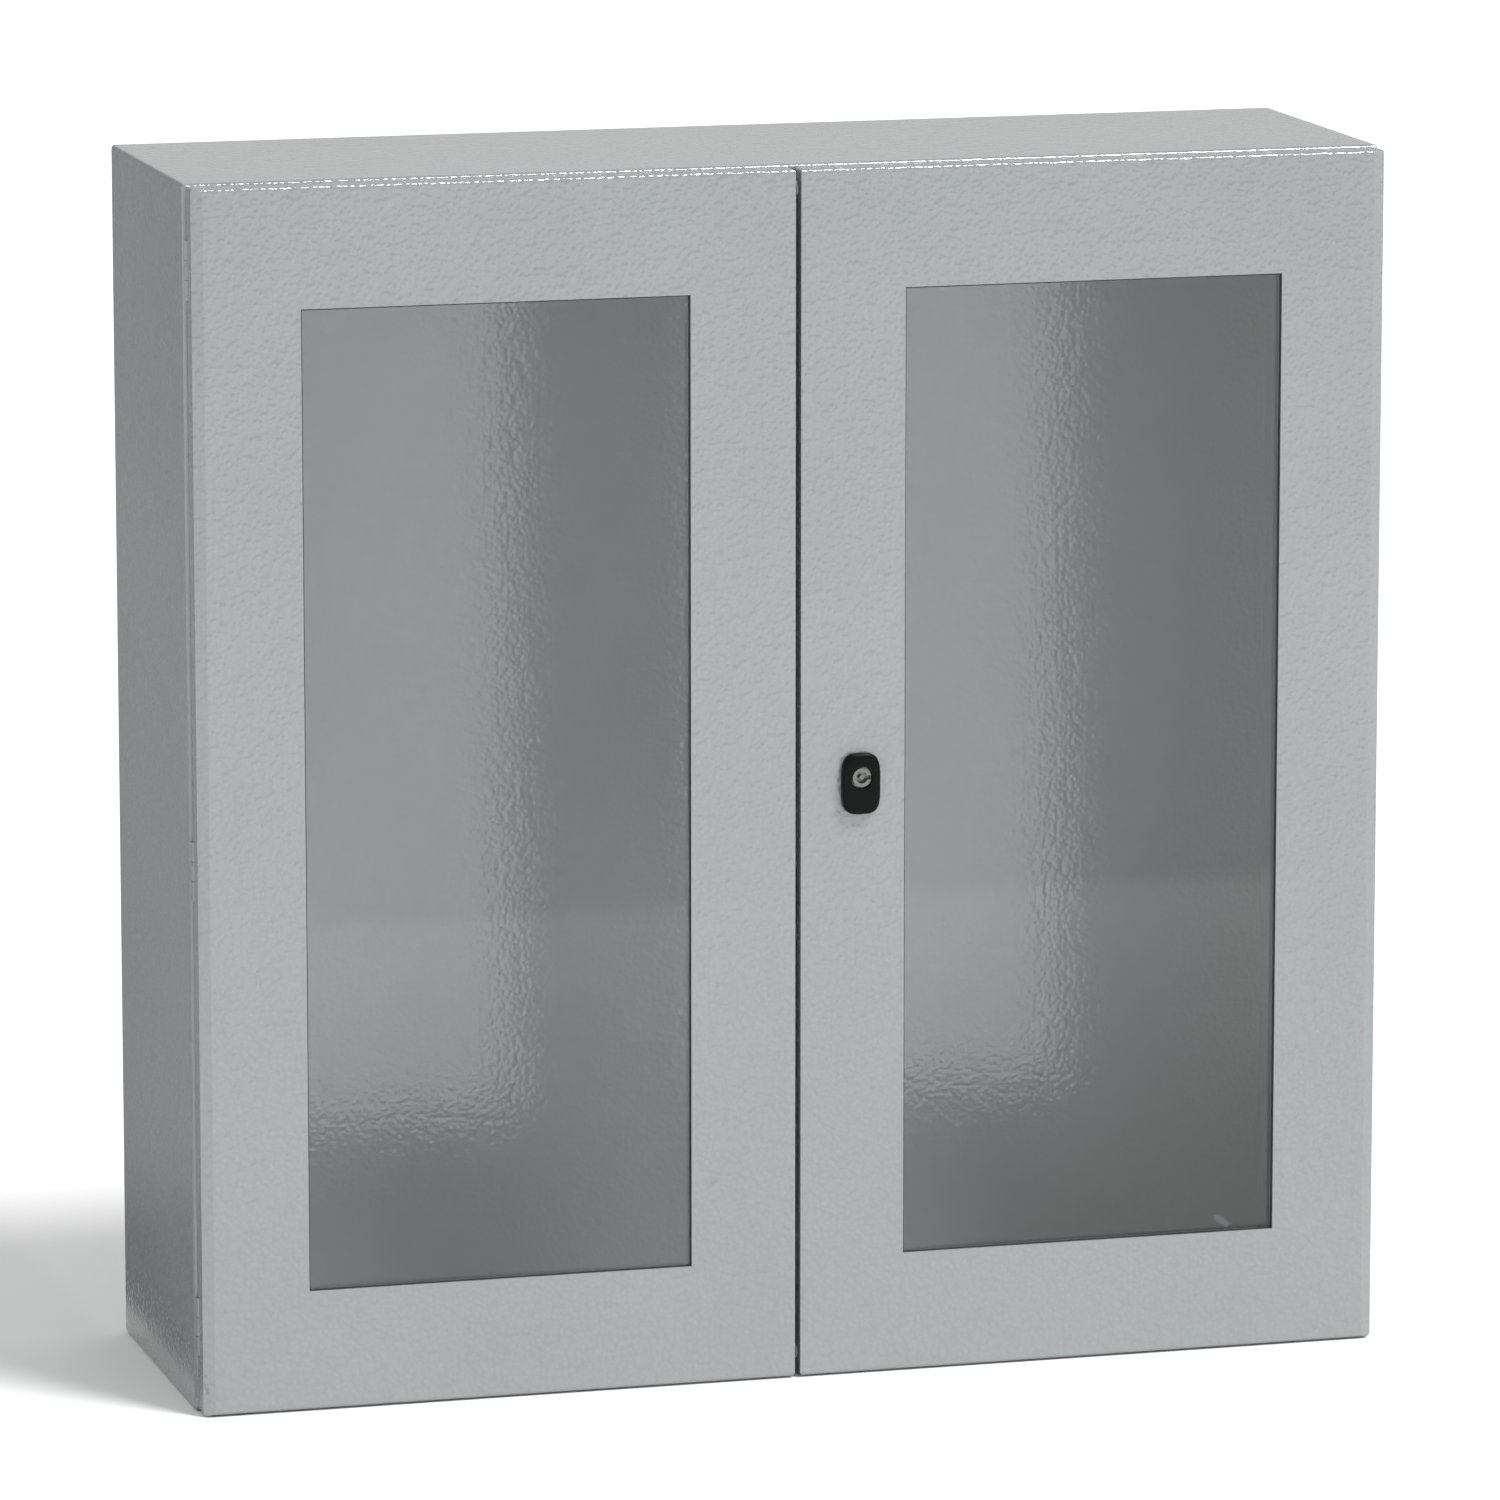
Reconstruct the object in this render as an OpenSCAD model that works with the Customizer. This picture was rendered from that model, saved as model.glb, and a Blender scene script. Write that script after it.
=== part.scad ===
// Wall-mounting sheet-steel enclosure with two glazed doors, a cam lock and a latched second leaf.
// Origin: bottom centre of the whole object. +X right, +Y to the wall, +Z up, millimetres.

/* [Enclosure] */
// Overall width
overall_w = 1000; // [860:10:1400]
// Overall height
overall_h = 1000; // [860:10:1400]
// Depth from the doors' front face to the wall
overall_d = 300; // [220:10:420]
// Sheet thickness of body and doors
sheet_t = 1.5; // [1:0.1:2]
// Outside bend radius of the sheet edges
bend_r = 3.3; // [2.5:0.1:4]
// Distance from the doors' front face to the body's front flange
body_y = 24.5; // [24.5:0.1:27]
// Width of the flange around the body's opening
flange_w = 25; // [22:0.5:28]
// Distance from the doors' front face to the edge of the gutter lip
lip_y = 14; // [12:0.5:16]

/* [Doors] */
// Gap between the two doors
meet_gap = 4.6; // [3:0.1:6]
// Step of the doors' side flange in from the body's side
door_inset = 2.1; // [1.5:0.1:2.6]
// Gap left at the top and bottom of each door
door_end_gap = 1.5; // [1:0.1:3]
// Depth of the door tray
door_d = 20; // [18:0.5:20.5]
// Depth of the flange at the meeting edge
meet_d = 23; // [22.5:0.1:23.5]
// Width of the return lip behind the outer and end flanges
return_w = 10; // [6:0.5:12]
// Width of the bevel along the outer edge
bevel_w = 9.1; // [6:0.1:12]
// Depth of that bevel
bevel_d = 3.4; // [2:0.1:5]

/* [Windows] */
// Width of sheet from the enclosure's centre line or side to a window
window_side = 90; // [86:1:160]
// Width of sheet above and below a window
window_end = 100; // [80:1:200]
// Overlap of the pane behind the sheet
glass_lap = 10; // [8:0.5:11]
// Thickness of the pane
glass_t = 4; // [3:0.5:6]
// Thickness of the glazing seal
seal_t = 1.5; // [1:0.1:2]
// Width of the flange that holds the retaining frame
frame_flange = 12; // [11:0.5:12]

/* [Hinges] */
// Height of one hinge
hinge_h = 48; // [40:1:60]
// Radius of the knuckle
knuckle_r = 4; // [3.5:0.1:4]
// Radius of the hinge pin
pin_r = 2; // [1.5:0.1:2.2]
// Height of the bottom hinge's centre
hinge_low = 72; // [60:1:120]
// Height of the middle hinge's centre
hinge_mid = 447; // [300:1:600]
// Drop of the top hinge's centre from the top
hinge_drop = 68; // [60:1:120]

/* [Lock] */
// Distance of the lock from the enclosure's centre line
lock_x = 52; // [51:0.5:54]
// Height of the lock above the bottom
lock_z = 500.5; // [400:0.5:600]
// Width of the escutcheon
plate_w = 32; // [26:1:36]
// Height of the escutcheon
plate_h = 50; // [40:1:60]
// Thickness of the escutcheon
plate_t = 6.5; // [4:0.5:7]
// Thickness of the seal behind the escutcheon
plate_seal_t = 1; // [0.5:0.1:2]
// Drop of the escutcheon's centre below the lock's axis
plate_drop = 5.5; // [2:0.5:9]
// Bulge of the escutcheon's long sides
plate_bulge = 2; // [0.5:0.1:3]
// Bulge of the escutcheon's ends
plate_end_bulge = 3.8; // [1:0.1:5]
// Radius of the lock's sleeve
sleeve_r = 8.9; // [8:0.1:9.5]
// Radius of the turning insert
barrel_r = 7.75; // [6.5:0.05:7.9]
// Radius at which the cam's pins drive the rods
throw_r = 15; // [14.5:0.1:15.5]
// Reach of the cam's tongue
tongue_l = 42; // [38:1:44]
// Width of the locking rods
rod_w = 12; // [10:1:14]
// Thickness of the locking rods
rod_t = 3; // [2.5:0.5:3.5]

/* [Wall fixing] */
// Distance of the wall holes from the sides
hole_in_x = 21; // [18:0.5:26]
// Distance of the wall holes from the top and bottom
hole_in_z = 23; // [18:0.5:26]
// Radius of the wall holes
hole_r = 4.25; // [3:0.25:6]
// Distance of the mounting studs from the sides
stud_in_x = 38; // [34:1:60]
// Distance of the mounting studs from the top and bottom
stud_in_z = 37; // [34:1:60]
// Radius of the mounting studs
stud_r = 4; // [3:0.5:5]
// Length of the mounting studs
stud_l = 35; // [20:1:50]

/* [Gland plates] */
// Width of each cable cut-out in the bottom
gland_w = 340; // [200:10:360]
// Depth of each cable cut-out
gland_d = 130; // [80:5:150]
// Distance of each cut-out's centre from the enclosure's centre line
gland_x = 215; // [205:1:220]
// Lap of the gland plates around their cut-outs
gland_lap = 15; // [12:1:18]

/* [Hidden] */
$fn = 48;
eps = 0.5;
fit_gap = 0.05;
free_gap = 0.3;

lock_proj = plate_t + plate_seal_t;
front_y = -(overall_d - lock_proj) / 2;
half_w = overall_w / 2;

// The doors' outline, for the door on the +X side
meet_x = meet_gap / 2;
side_x = half_w - door_inset;
bevel_x = side_x - bevel_w;
door_z0 = door_end_gap;
door_z1 = overall_h - door_end_gap;
bevel_tan = bevel_d / bevel_w;
bevel_cos = cos(atan(bevel_tan));

// The opening in the body and the lip around it
open_x = half_w - flange_w;
open_z0 = flange_w;
open_z1 = overall_h - flange_w;
body_inner_y = body_y + sheet_t;
rear_y = overall_d - sheet_t;

// The centre post: a channel behind the gap between the doors
post_half = 22;
post_web_t = 2;
post_web_y1 = body_inner_y + post_web_t;
post_end_in = 6;
post_screw_x = 12;
post_screw_r = 2.5;
post_screw_tip = 2.5;
post_head_r = 4.5;
post_head_h = 2.6;

// The doors' gasket lies over the lip
gasket_half = 5.5;
gasket_y1 = lip_y - free_gap;
gasket_x0 = post_half - sheet_t / 2;
gasket_x1 = open_x + sheet_t / 2;
gasket_z0 = open_z0 - sheet_t / 2;
gasket_z1 = open_z1 + sheet_t / 2;
gasket_corner_r = 9;

// The windows, their panes and the frames that hold the panes
win_x0 = window_side;
win_x1 = half_w - window_side;
win_z0 = window_end;
win_z1 = overall_h - window_end;
seal_set_out = 1;
glass_y0 = sheet_t + seal_t;
glass_y1 = glass_y0 + glass_t;
frame_t = 1.5;
frame_y1 = glass_y1 + frame_t;
frame_play = 0.2;
frame_stud_r = 2;
frame_stud_y1 = sheet_t + 9;
frame_stud_in = glass_lap + frame_play + frame_t + frame_flange / 2;
frame_nut_r = 4;
frame_nut_t = 3.2;
side_studs = 4;
end_studs = 2;

// The hinges
axis_x = side_x - 2;
axis_y = door_d;
hinge_z = [hinge_low, hinge_mid, overall_h - hinge_drop];
middle_h = hinge_h * 0.32;
knuckle_play = 0.5;
leaf_t = 2;
leaf_reach = 18;
leaf_root = 1;
leaf_play = 0.6;
notch_play = 0.6;
notch_r = knuckle_r + 0.5;

// The lock and the rods that it drives
escutcheon_back_y = -plate_seal_t;
plate_bore_r = sleeve_r + 0.1;
seal_plate_in = 1.6;
cam_y0 = post_web_y1 + 1;
sleeve_y0 = escutcheon_back_y - 2;
sleeve_y1 = cam_y0 - 0.5;
cam_t = 2.5;
cam_y1 = cam_y0 + cam_t;
cam_r = throw_r + 3.5;
tongue_w = 14;
drive_pin_r = 2.5;
drive_pin_y1 = cam_y1 + 6;
rod_y0 = cam_y1 + 1.5;
rod_y1 = rod_y0 + rod_t;
slot_play_z = 0.9;
slot_play_x = 0.5;
slot_x0 = throw_r * cos(45) - drive_pin_r - slot_play_x;
slot_x1 = throw_r + drive_pin_r + slot_play_x;
lug_wall = 2.3;
lug_z = throw_r * sin(45);
rod_root = 20;
lug_l = 10;
rod_tip_gap = 7;
rod_len = overall_h - lock_z - flange_w - rod_tip_gap;
rod_len_low = lock_z - flange_w - rod_tip_gap;
tip_y0 = body_inner_y + free_gap;
joggle_l = 14;
tip_l = 30;
guide_w = 22;
guide_t = 2;
guide_foot = 16;
guide_y1 = rod_y1 + 5;
guide_play = 0.4;
lock_nut_r = 13.5;
lock_nut_t = 5;
cam_screw_r = 2.5;
cam_screw_l = 9;
cam_bore_l = 10;
cam_washer_r = 6;
cam_washer_t = 0.8;
cam_head_r = 4.2;
cam_head_h = 2.2;
guide_near = 140;
guide_end_in = 67.5;
// Each step of the escutcheon's domed edge: how far in, and what share of its thickness
plate_steps = [[0, 0.75], [0.7, 0.9], [1.8, 1]];
plate_corner_r = 11.5;
barrel_y0 = -lock_proj + 0.5;
neck_r = 5;
neck_root = 0.5;
key_r = 4.8;
key_pin_r = 1.8;
key_pin_in = 1;
key_deep = 6;
key_notch_w = 3.6;

// The second door's latch
latch_pivot_r = 4;
latch_foot_z = 30;
latch_neck_w = 18;
latch_neck_z = 12;
latch_leg_t = 3;
bracket_y1 = cam_y0 - 1;
bracket_y0 = bracket_y1 - latch_leg_t;
latch_rim_r = latch_pivot_r + 0.7;
latch_rim_t = 1.2;
latch_flange_r = latch_pivot_r + 2.5;
latch_flange_t = 2;
knob_z = 80;
knob_r = 6;
knob_l = 16;
knob_neck_r = 3.6;
knob_neck_l = 6.4;

// Plugs in the meeting flange
plug_low = 19.5;
plug_drop = 18.5;
plug_z = [plug_low, overall_h - plug_drop];
plug_y = 16;
plug_head_r = 6;
plug_head_t = 1.2;
plug_stem_r = 4;
plug_barb_r = 4.6;
plug_barb_l = 2;

// Earth studs
earth_r = 3;
earth_l = 16;
earth_nut_r = 5.8;
earth_nut_t = 5;
earth_washer_r = 7.4;
earth_washer_t = 1.4;
door_earth_x = half_w - 48;
door_earth_z = 60;
body_earth_y = 180;
body_earth_z = 60;

// Gland plates
gland_y = 165;
gland_gasket_t = 2;
gland_stud_r = 2.5;
gland_stud_h = 10;
gland_nut_r = 4.6;
gland_nut_t = 4;
gland_nut_z = 2 * sheet_t + gland_gasket_t;

// ---- Helpers ----

// Places what is drawn with y measured back from the doors' front face
module from_front() {
  translate([0, front_y, 0]) children();
}

// Places what is drawn for the +X side on either side, 1 for +X and -1 for -X
module on_side(side) {
  from_front() {
    if (side > 0) children();
    else mirror([1, 0, 0]) children();
  }
}

// Extrudes an outline drawn in X and Z between two depths
module slab_y(y0, y1) {
  translate([0, y1, 0]) rotate([90, 0, 0]) linear_extrude(y1 - y0) children();
}

// Extrudes an outline drawn in Y and Z between two places along X
module slab_x(x0, x1) {
  translate([x0, 0, 0]) rotate([90, 0, 90]) linear_extrude(x1 - x0) children();
}

module box(x0, x1, y0, y1, z0, z1) {
  translate([x0, y0, z0]) cube([x1 - x0, y1 - y0, z1 - z0]);
}

module rect(x0, x1, z0, z1) {
  translate([x0, z0]) square([x1 - x0, z1 - z0]);
}

module round_rect(x0, x1, z0, z1, r) {
  rect(x0 + r, x1 - r, z0, z1);
  rect(x0, x1, z0 + r, z1 - r);
  for (x = [x0 + r, x1 - r], z = [z0 + r, z1 - r]) translate([x, z]) circle(r);
}

// A bar along Y
module rod_along_y(x, z, r, y0, y1) {
  translate([x, y0, z]) rotate([-90, 0, 0]) cylinder(r = r, h = y1 - y0);
}

module hex_along_y(x, z, r, y0, y1) {
  translate([x, y0, z]) rotate([-90, 0, 0]) cylinder(r = r, h = y1 - y0, $fn = 6);
}

// ---- Body ----

// A box whose side edges and front edges are bent to a radius
module bent_box(half, z0, z1, y0, y1, r) {
  intersection() {
    slab_y(y0, y1) round_rect(-half, half, z0, z1, r);
    translate([0, 0, z0 - eps]) linear_extrude(z1 - z0 + 2 * eps) front_rounded(-half, half, y0, y1, r);
    slab_x(-half - eps, half + eps) side_rounded(z0, z1, y0, y1, r);
  }
}

// An outline in X and Y that is rounded at its two front corners
module front_rounded(x0, x1, y0, y1, r) {
  rect(x0 + r, x1 - r, y0, y1);
  rect(x0, x1, y0 + r, y1);
  for (x = [x0 + r, x1 - r]) translate([x, y0 + r]) circle(r);
}

// An outline in Y and Z that is rounded at its two front corners
module side_rounded(z0, z1, y0, y1, r) {
  rect(y0, y1, z0 + r, z1 - r);
  rect(y0 + r, y1, z0, z1);
  for (z = [z0 + r, z1 - r]) translate([y0 + r, z]) circle(r);
}

// Sides, top, bottom, front flange and gutter lip, bent from one sheet
module body_wrapper() {
  color("#b4b8b8") from_front() difference() {
    union() {
      bent_box(half_w, 0, overall_h, body_y, overall_d, bend_r);
      slab_y(lip_y, body_inner_y)
        rect(-open_x - sheet_t, open_x + sheet_t, open_z0 - sheet_t, open_z1 + sheet_t);
    }
    bent_box(half_w - sheet_t, sheet_t, overall_h - sheet_t, body_inner_y, overall_d + eps, bend_r - sheet_t);
    box(-open_x, open_x, lip_y - eps, body_inner_y + bend_r, open_z0, open_z1);
    box(-post_half, post_half, lip_y - eps, body_y, 0, overall_h);
    post_screw_holes(post_screw_r + 0.3, body_y - eps, body_inner_y + eps);
    for (side = [-1, 1]) {
      box(side * gland_x - gland_w / 2, side * gland_x + gland_w / 2,
        gland_y - gland_d / 2, gland_y + gland_d / 2, -eps, sheet_t + eps);
    }
  }
}

module rear_panel() {
  color("#b0b4b4") from_front() difference() {
    slab_y(rear_y, overall_d)
      round_rect(-half_w + sheet_t, half_w - sheet_t, sheet_t, overall_h - sheet_t, bend_r - sheet_t);
    for (x = [-half_w + hole_in_x, half_w - hole_in_x], z = [hole_in_z, overall_h - hole_in_z]) {
      rod_along_y(x, z, hole_r, rear_y - eps, overall_d + eps);
    }
  }
}

module post_screw_holes(r, y0, y1) {
  for (x = [-post_screw_x, post_screw_x], z = [flange_w / 2, overall_h - flange_w / 2]) {
    rod_along_y(x, z, r, y0, y1);
  }
}

// A channel that both doors close against
module centre_post() {
  color("#b0b4b4") from_front() difference() {
    union() {
      box(-post_half, post_half, body_inner_y, post_web_y1, post_end_in, overall_h - post_end_in);
      box(-post_half, post_half, lip_y, body_inner_y, open_z0, open_z1);
      box(-post_half, post_half, lip_y, body_y, open_z0 - sheet_t, open_z1 + sheet_t);
    }
    box(-post_half + sheet_t, post_half - sheet_t, lip_y - eps, body_inner_y, 0, overall_h);
    post_screw_holes(post_screw_r + fit_gap, body_inner_y - eps, post_web_y1 + eps);
  }
}

module centre_post_screws() {
  color("#c9cccc") from_front() {
    post_screw_holes(post_screw_r, body_y - eps, post_web_y1 + post_screw_tip);
    post_screw_holes(post_head_r, body_y - post_head_h, body_y);
  }
}

module mounting_studs() {
  color("#c9cccc") from_front()
    for (x = [-half_w + stud_in_x, half_w - stud_in_x], z = [stud_in_z, overall_h - stud_in_z]) {
      rod_along_y(x, z, stud_r, rear_y - stud_l, rear_y);
    }
}

module body_earth_stud() {
  color("#c8a85a") from_front() translate([-half_w + sheet_t, body_earth_y, body_earth_z])
    rotate([0, 90, 0]) cylinder(r = earth_r, h = earth_l);
}

module body_earth_nut() {
  color("#c9cccc") from_front() translate([-half_w + sheet_t, body_earth_y, body_earth_z])
    rotate([0, 90, 0]) difference() {
      union() {
        cylinder(r = earth_washer_r, h = earth_washer_t);
        cylinder(r = earth_nut_r, h = earth_washer_t + earth_nut_t, $fn = 6);
      }
      translate([0, 0, -eps]) cylinder(r = earth_r + fit_gap, h = earth_l);
    }
}

module gland_gasket(side) {
  color("#2b2c2d") from_front() difference() {
    gland_slab(side, gland_lap, sheet_t, sheet_t + gland_gasket_t);
    gland_slab(side, 0, 0, sheet_t + gland_gasket_t + eps);
    gland_studs(side, gland_stud_r + free_gap, 0, gland_stud_h);
  }
}

module gland_plate(side) {
  color("#c3c6c6") from_front() difference() {
    gland_slab(side, gland_lap, sheet_t + gland_gasket_t, 2 * sheet_t + gland_gasket_t);
    gland_studs(side, gland_stud_r + free_gap, 0, gland_stud_h);
  }
}

module gland_slab(side, lap, z0, z1) {
  box(side * gland_x - gland_w / 2 - lap, side * gland_x + gland_w / 2 + lap,
    gland_y - gland_d / 2 - lap, gland_y + gland_d / 2 + lap, z0, z1);
}

module gland_studs(side, r, z0, z1, faces = $fn) {
  for (x = [-1, 0, 1], y = [-1, 1]) {
    translate([side * gland_x + x * (gland_w + gland_lap) / 2, gland_y + y * (gland_d + gland_lap) / 2, z0])
      cylinder(r = r, h = z1 - z0, $fn = faces);
  }
}

module gland_plate_studs() {
  color("#c9cccc") from_front() for (side = [-1, 1]) {
    gland_studs(side, gland_stud_r, sheet_t, sheet_t + gland_stud_h);
  }
}

module gland_plate_nuts() {
  color("#c9cccc") from_front() for (side = [-1, 1]) difference() {
    gland_studs(side, gland_nut_r, gland_nut_z, gland_nut_z + gland_nut_t, 6);
    gland_studs(side, gland_stud_r + fit_gap, 0, gland_nut_z + gland_nut_t + eps);
  }
}

// ---- Hinges, drawn for the +X side ----

module hinge_axis_cylinder(r, z0, z1) {
  translate([axis_x, axis_y, z0]) cylinder(r = r, h = z1 - z0);
}

module hinge_body_leaves(side) {
  color("#b4b8b8") on_side(side) for (z = hinge_z) difference() {
    union() {
      for (end = [-1, 1]) {
        z_in = z + end * (middle_h / 2 + knuckle_play);
        z_out = z + end * hinge_h / 2;
        hinge_axis_cylinder(knuckle_r, min(z_in, z_out), max(z_in, z_out));
        box(axis_x - leaf_reach, axis_x + leaf_root, body_y - leaf_t, body_y,
          min(z_in, z_out), max(z_in, z_out));
      }
      box(axis_x - leaf_reach, axis_x - knuckle_r - knuckle_play, body_y - leaf_t, body_y,
        z - hinge_h / 2, z + hinge_h / 2);
    }
    hinge_axis_cylinder(pin_r + fit_gap, z - hinge_h, z + hinge_h);
  }
}

module hinge_pins(side) {
  color("#c9cccc") on_side(side)
    for (z = hinge_z) hinge_axis_cylinder(pin_r, z - hinge_h / 2, z + hinge_h / 2);
}

module hinge_door_leaves(side) {
  leaf_x1 = side_x - sheet_t;
  leaf_y0 = bevel_d + sheet_t + leaf_play;
  leaf_y1 = axis_y - notch_r - free_gap;
  color("#b4b8b8") on_side(side) for (z = hinge_z) difference() {
    union() {
      box(leaf_x1 - leaf_t, leaf_x1, leaf_y0, leaf_y1, z - hinge_h / 2, z + hinge_h / 2);
      box(leaf_x1 - leaf_t, leaf_x1, leaf_y0, axis_y, z - middle_h / 2, z + middle_h / 2);
      hinge_axis_cylinder(knuckle_r, z - middle_h / 2, z + middle_h / 2);
    }
    hinge_axis_cylinder(pin_r + fit_gap, z - hinge_h, z + hinge_h);
  }
}

// ---- Doors, drawn for the +X side ----

// The tray's outline from above, set in by the sheet's thickness for the inside
module door_plan(inset, depth) {
  polygon([
    [meet_x + inset, inset],
    [bevel_x + (inset - inset / bevel_cos) / bevel_tan, inset],
    [side_x - inset, bevel_d + inset / bevel_cos - inset * bevel_tan],
    [side_x - inset, depth],
    [meet_x + inset, depth]
  ]);
}

// The tray as a solid, with its corners and its top and bottom edges rounded
module door_block(inset, depth) {
  z0 = door_z0 + inset;
  z1 = door_z1 - inset;
  intersection() {
    translate([0, 0, z0]) linear_extrude(z1 - z0) door_plan(inset, depth);
    slab_x(0, half_w) side_rounded(z0, z1, inset, depth, bend_r - inset);
    slab_y(inset, depth) round_rect(meet_x + inset, side_x - inset, z0, z1, bend_r - inset);
  }
}

module door_shell(side) {
  color("#b4b8b8") on_side(side) difference() {
    union() {
      door_block(0, door_d);
      box(meet_x, meet_x + sheet_t, door_d - eps, meet_d, door_z0 + bend_r, door_z1 - bend_r);
    }
    door_block(sheet_t, door_d - sheet_t);
    box(meet_x + sheet_t, side_x - return_w, door_d - 2 * sheet_t, meet_d + eps,
      door_z0 + return_w, door_z1 - return_w);
    box(win_x0, win_x1, -eps, sheet_t + eps, win_z0, win_z1);
    for (z = hinge_z) {
      box(side_x - return_w - 2 * sheet_t, half_w, axis_y - notch_r, door_d + eps,
        z - hinge_h / 2 - notch_play, z + hinge_h / 2 + notch_play);
    }
    if (side > 0) locking_door_holes();
  }
}

// Holes for the lock and for the plugs
module locking_door_holes() {
  rod_along_y(lock_x, lock_z, sleeve_r + free_gap, -eps, sheet_t + eps);
  for (z = plug_z) translate([meet_x - eps, plug_y, z]) rotate([0, 90, 0])
    cylinder(r = plug_stem_r + fit_gap, h = sheet_t + 2 * eps);
}

module window_outline(out) {
  rect(win_x0 - out, win_x1 + out, win_z0 - out, win_z1 + out);
}

module glazing_seal(side) {
  color("#2b2c2d") on_side(side) slab_y(sheet_t, glass_y0) difference() {
    window_outline(glass_lap);
    window_outline(-seal_set_out);
  }
}

module glass_pane(side) {
  color([0.8, 0.86, 0.86, 0.35]) on_side(side) slab_y(glass_y0, glass_y1) window_outline(glass_lap);
}

// A stepped frame that clamps the pane to the door
module glass_frame(side) {
  pocket = glass_lap + frame_play;
  color("#b4b8b8") on_side(side) difference() {
    union() {
      slab_y(sheet_t, frame_y1) window_outline(pocket + frame_t);
      slab_y(sheet_t, sheet_t + frame_t) window_outline(pocket + frame_t + frame_flange);
    }
    slab_y(sheet_t - eps, glass_y1) window_outline(pocket);
    slab_y(sheet_t - eps, frame_y1 + eps) window_outline(0);
    frame_stud_spots() rod_along_y(0, 0, frame_stud_r + free_gap, sheet_t - eps, frame_stud_y1);
  }
}

module frame_stud_spots() {
  side_step = (win_z1 - win_z0) / side_studs;
  end_step = (win_x1 - win_x0) / end_studs;
  for (x = [win_x0 - frame_stud_in, win_x1 + frame_stud_in], i = [0 : side_studs - 1]) {
    translate([x, 0, win_z0 + (i + 0.5) * side_step]) children();
  }
  for (z = [win_z0 - frame_stud_in, win_z1 + frame_stud_in], i = [0 : end_studs - 1]) {
    translate([win_x0 + (i + 0.5) * end_step, 0, z]) children();
  }
}

module frame_studs(side) {
  color("#c9cccc") on_side(side)
    frame_stud_spots() rod_along_y(0, 0, frame_stud_r, sheet_t, frame_stud_y1);
}

module frame_nuts(side) {
  nut_y = sheet_t + frame_t;
  color("#c9cccc") on_side(side) frame_stud_spots() difference() {
    hex_along_y(0, 0, frame_nut_r, nut_y, nut_y + frame_nut_t);
    rod_along_y(0, 0, frame_stud_r + fit_gap, nut_y - eps, nut_y + frame_nut_t + eps);
  }
}

module door_gasket(side) {
  color("#2b2c2d") on_side(side) slab_y(sheet_t, gasket_y1) difference() {
    round_rect(gasket_x0 - gasket_half, gasket_x1 + gasket_half, gasket_z0 - gasket_half,
      gasket_z1 + gasket_half, gasket_corner_r);
    rect(gasket_x0 + gasket_half, gasket_x1 - gasket_half, gasket_z0 + gasket_half, gasket_z1 - gasket_half);
  }
}

module earth_stud(side) {
  color("#c8a85a") on_side(side)
    rod_along_y(door_earth_x, door_earth_z, earth_r, sheet_t, sheet_t + earth_l);
}

module earth_nut(side) {
  color("#c9cccc") on_side(side) translate([door_earth_x, sheet_t, door_earth_z]) difference() {
    union() {
      rod_along_y(0, 0, earth_washer_r, 0, earth_washer_t);
      hex_along_y(0, 0, earth_nut_r, 0, earth_washer_t + earth_nut_t);
    }
    rod_along_y(0, 0, earth_r + fit_gap, -eps, earth_l);
  }
}

// ---- Rods and their guides, drawn about the lock's axis ----

// The bar with its slotted lug on the -X side, going up; upward play follows the cam's pin
module locking_rod(len) {
  difference() {
    union() {
      slab_y(rod_y0, rod_y1) {
        rect(-slot_x1 - lug_wall, -slot_x0 + lug_wall,
          -lug_z - drive_pin_r - slot_play_z - lug_wall, rod_root + lug_l);
        rect(-slot_x1 - lug_wall, rod_w / 2, rod_root, rod_root + lug_l);
      }
      slab_x(-rod_w / 2, rod_w / 2) polygon([
        [rod_y0, rod_root],
        [rod_y1, rod_root],
        [rod_y1, len - tip_l - joggle_l],
        [tip_y0 + rod_t, len - tip_l],
        [tip_y0 + rod_t, len],
        [tip_y0, len],
        [tip_y0, len - tip_l],
        [rod_y0, len - tip_l - joggle_l]
      ]);
    }
    slab_y(rod_y0 - eps, rod_y1 + eps) translate([0, -lug_z])
      rect(-slot_x1, -slot_x0, -drive_pin_r - slot_play_z, drive_pin_r + slot_play_z);
  }
}

module at_lock() {
  translate([lock_x, 0, lock_z]) children();
}

module upper_rod(side) {
  color("#c9cccc") on_side(side) at_lock() locking_rod(rod_len);
}

// The same rod turned over, with the length that lies below the lock
module lower_rod(side) {
  color("#c9cccc") on_side(side) at_lock() rotate([0, 180, 0]) locking_rod(rod_len_low);
}

// Two guides above the lock and two below it, the outer ones near the rods' tips
module rod_guides(side) {
  spots = [-rod_len_low + guide_end_in, -guide_near, guide_near, rod_len - guide_end_in];
  color("#c9cccc") on_side(side) at_lock() for (spot = spots) translate([0, 0, spot]) rod_guide();
}

// An angle bracket with a window that the rod slides in
module rod_guide() {
  difference() {
    union() {
      box(-guide_w / 2, guide_w / 2, sheet_t, sheet_t + guide_t, 0, guide_foot);
      box(-guide_w / 2, guide_w / 2, sheet_t, guide_y1, 0, guide_t);
    }
    box(-rod_w / 2 - guide_play, rod_w / 2 + guide_play, rod_y0 - guide_play, rod_y1 + guide_play,
      -eps, guide_t + eps);
  }
}

// A disc with a tongue and two drive pins, shared by the lock's cam and the latch
module drive_disc(bore) {
  difference() {
    union() {
      rod_along_y(0, 0, cam_r, cam_y0, cam_y1);
      for (turn = [-1, 1]) {
        rod_along_y(turn * lug_z, turn * lug_z, drive_pin_r, cam_y1 - eps, drive_pin_y1);
      }
      box(-tongue_w / 2, tongue_w / 2, cam_y0, cam_y1, -tongue_l, 0);
    }
    rod_along_y(0, 0, bore, cam_y0 - eps, cam_y1 + eps);
  }
}

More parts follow.
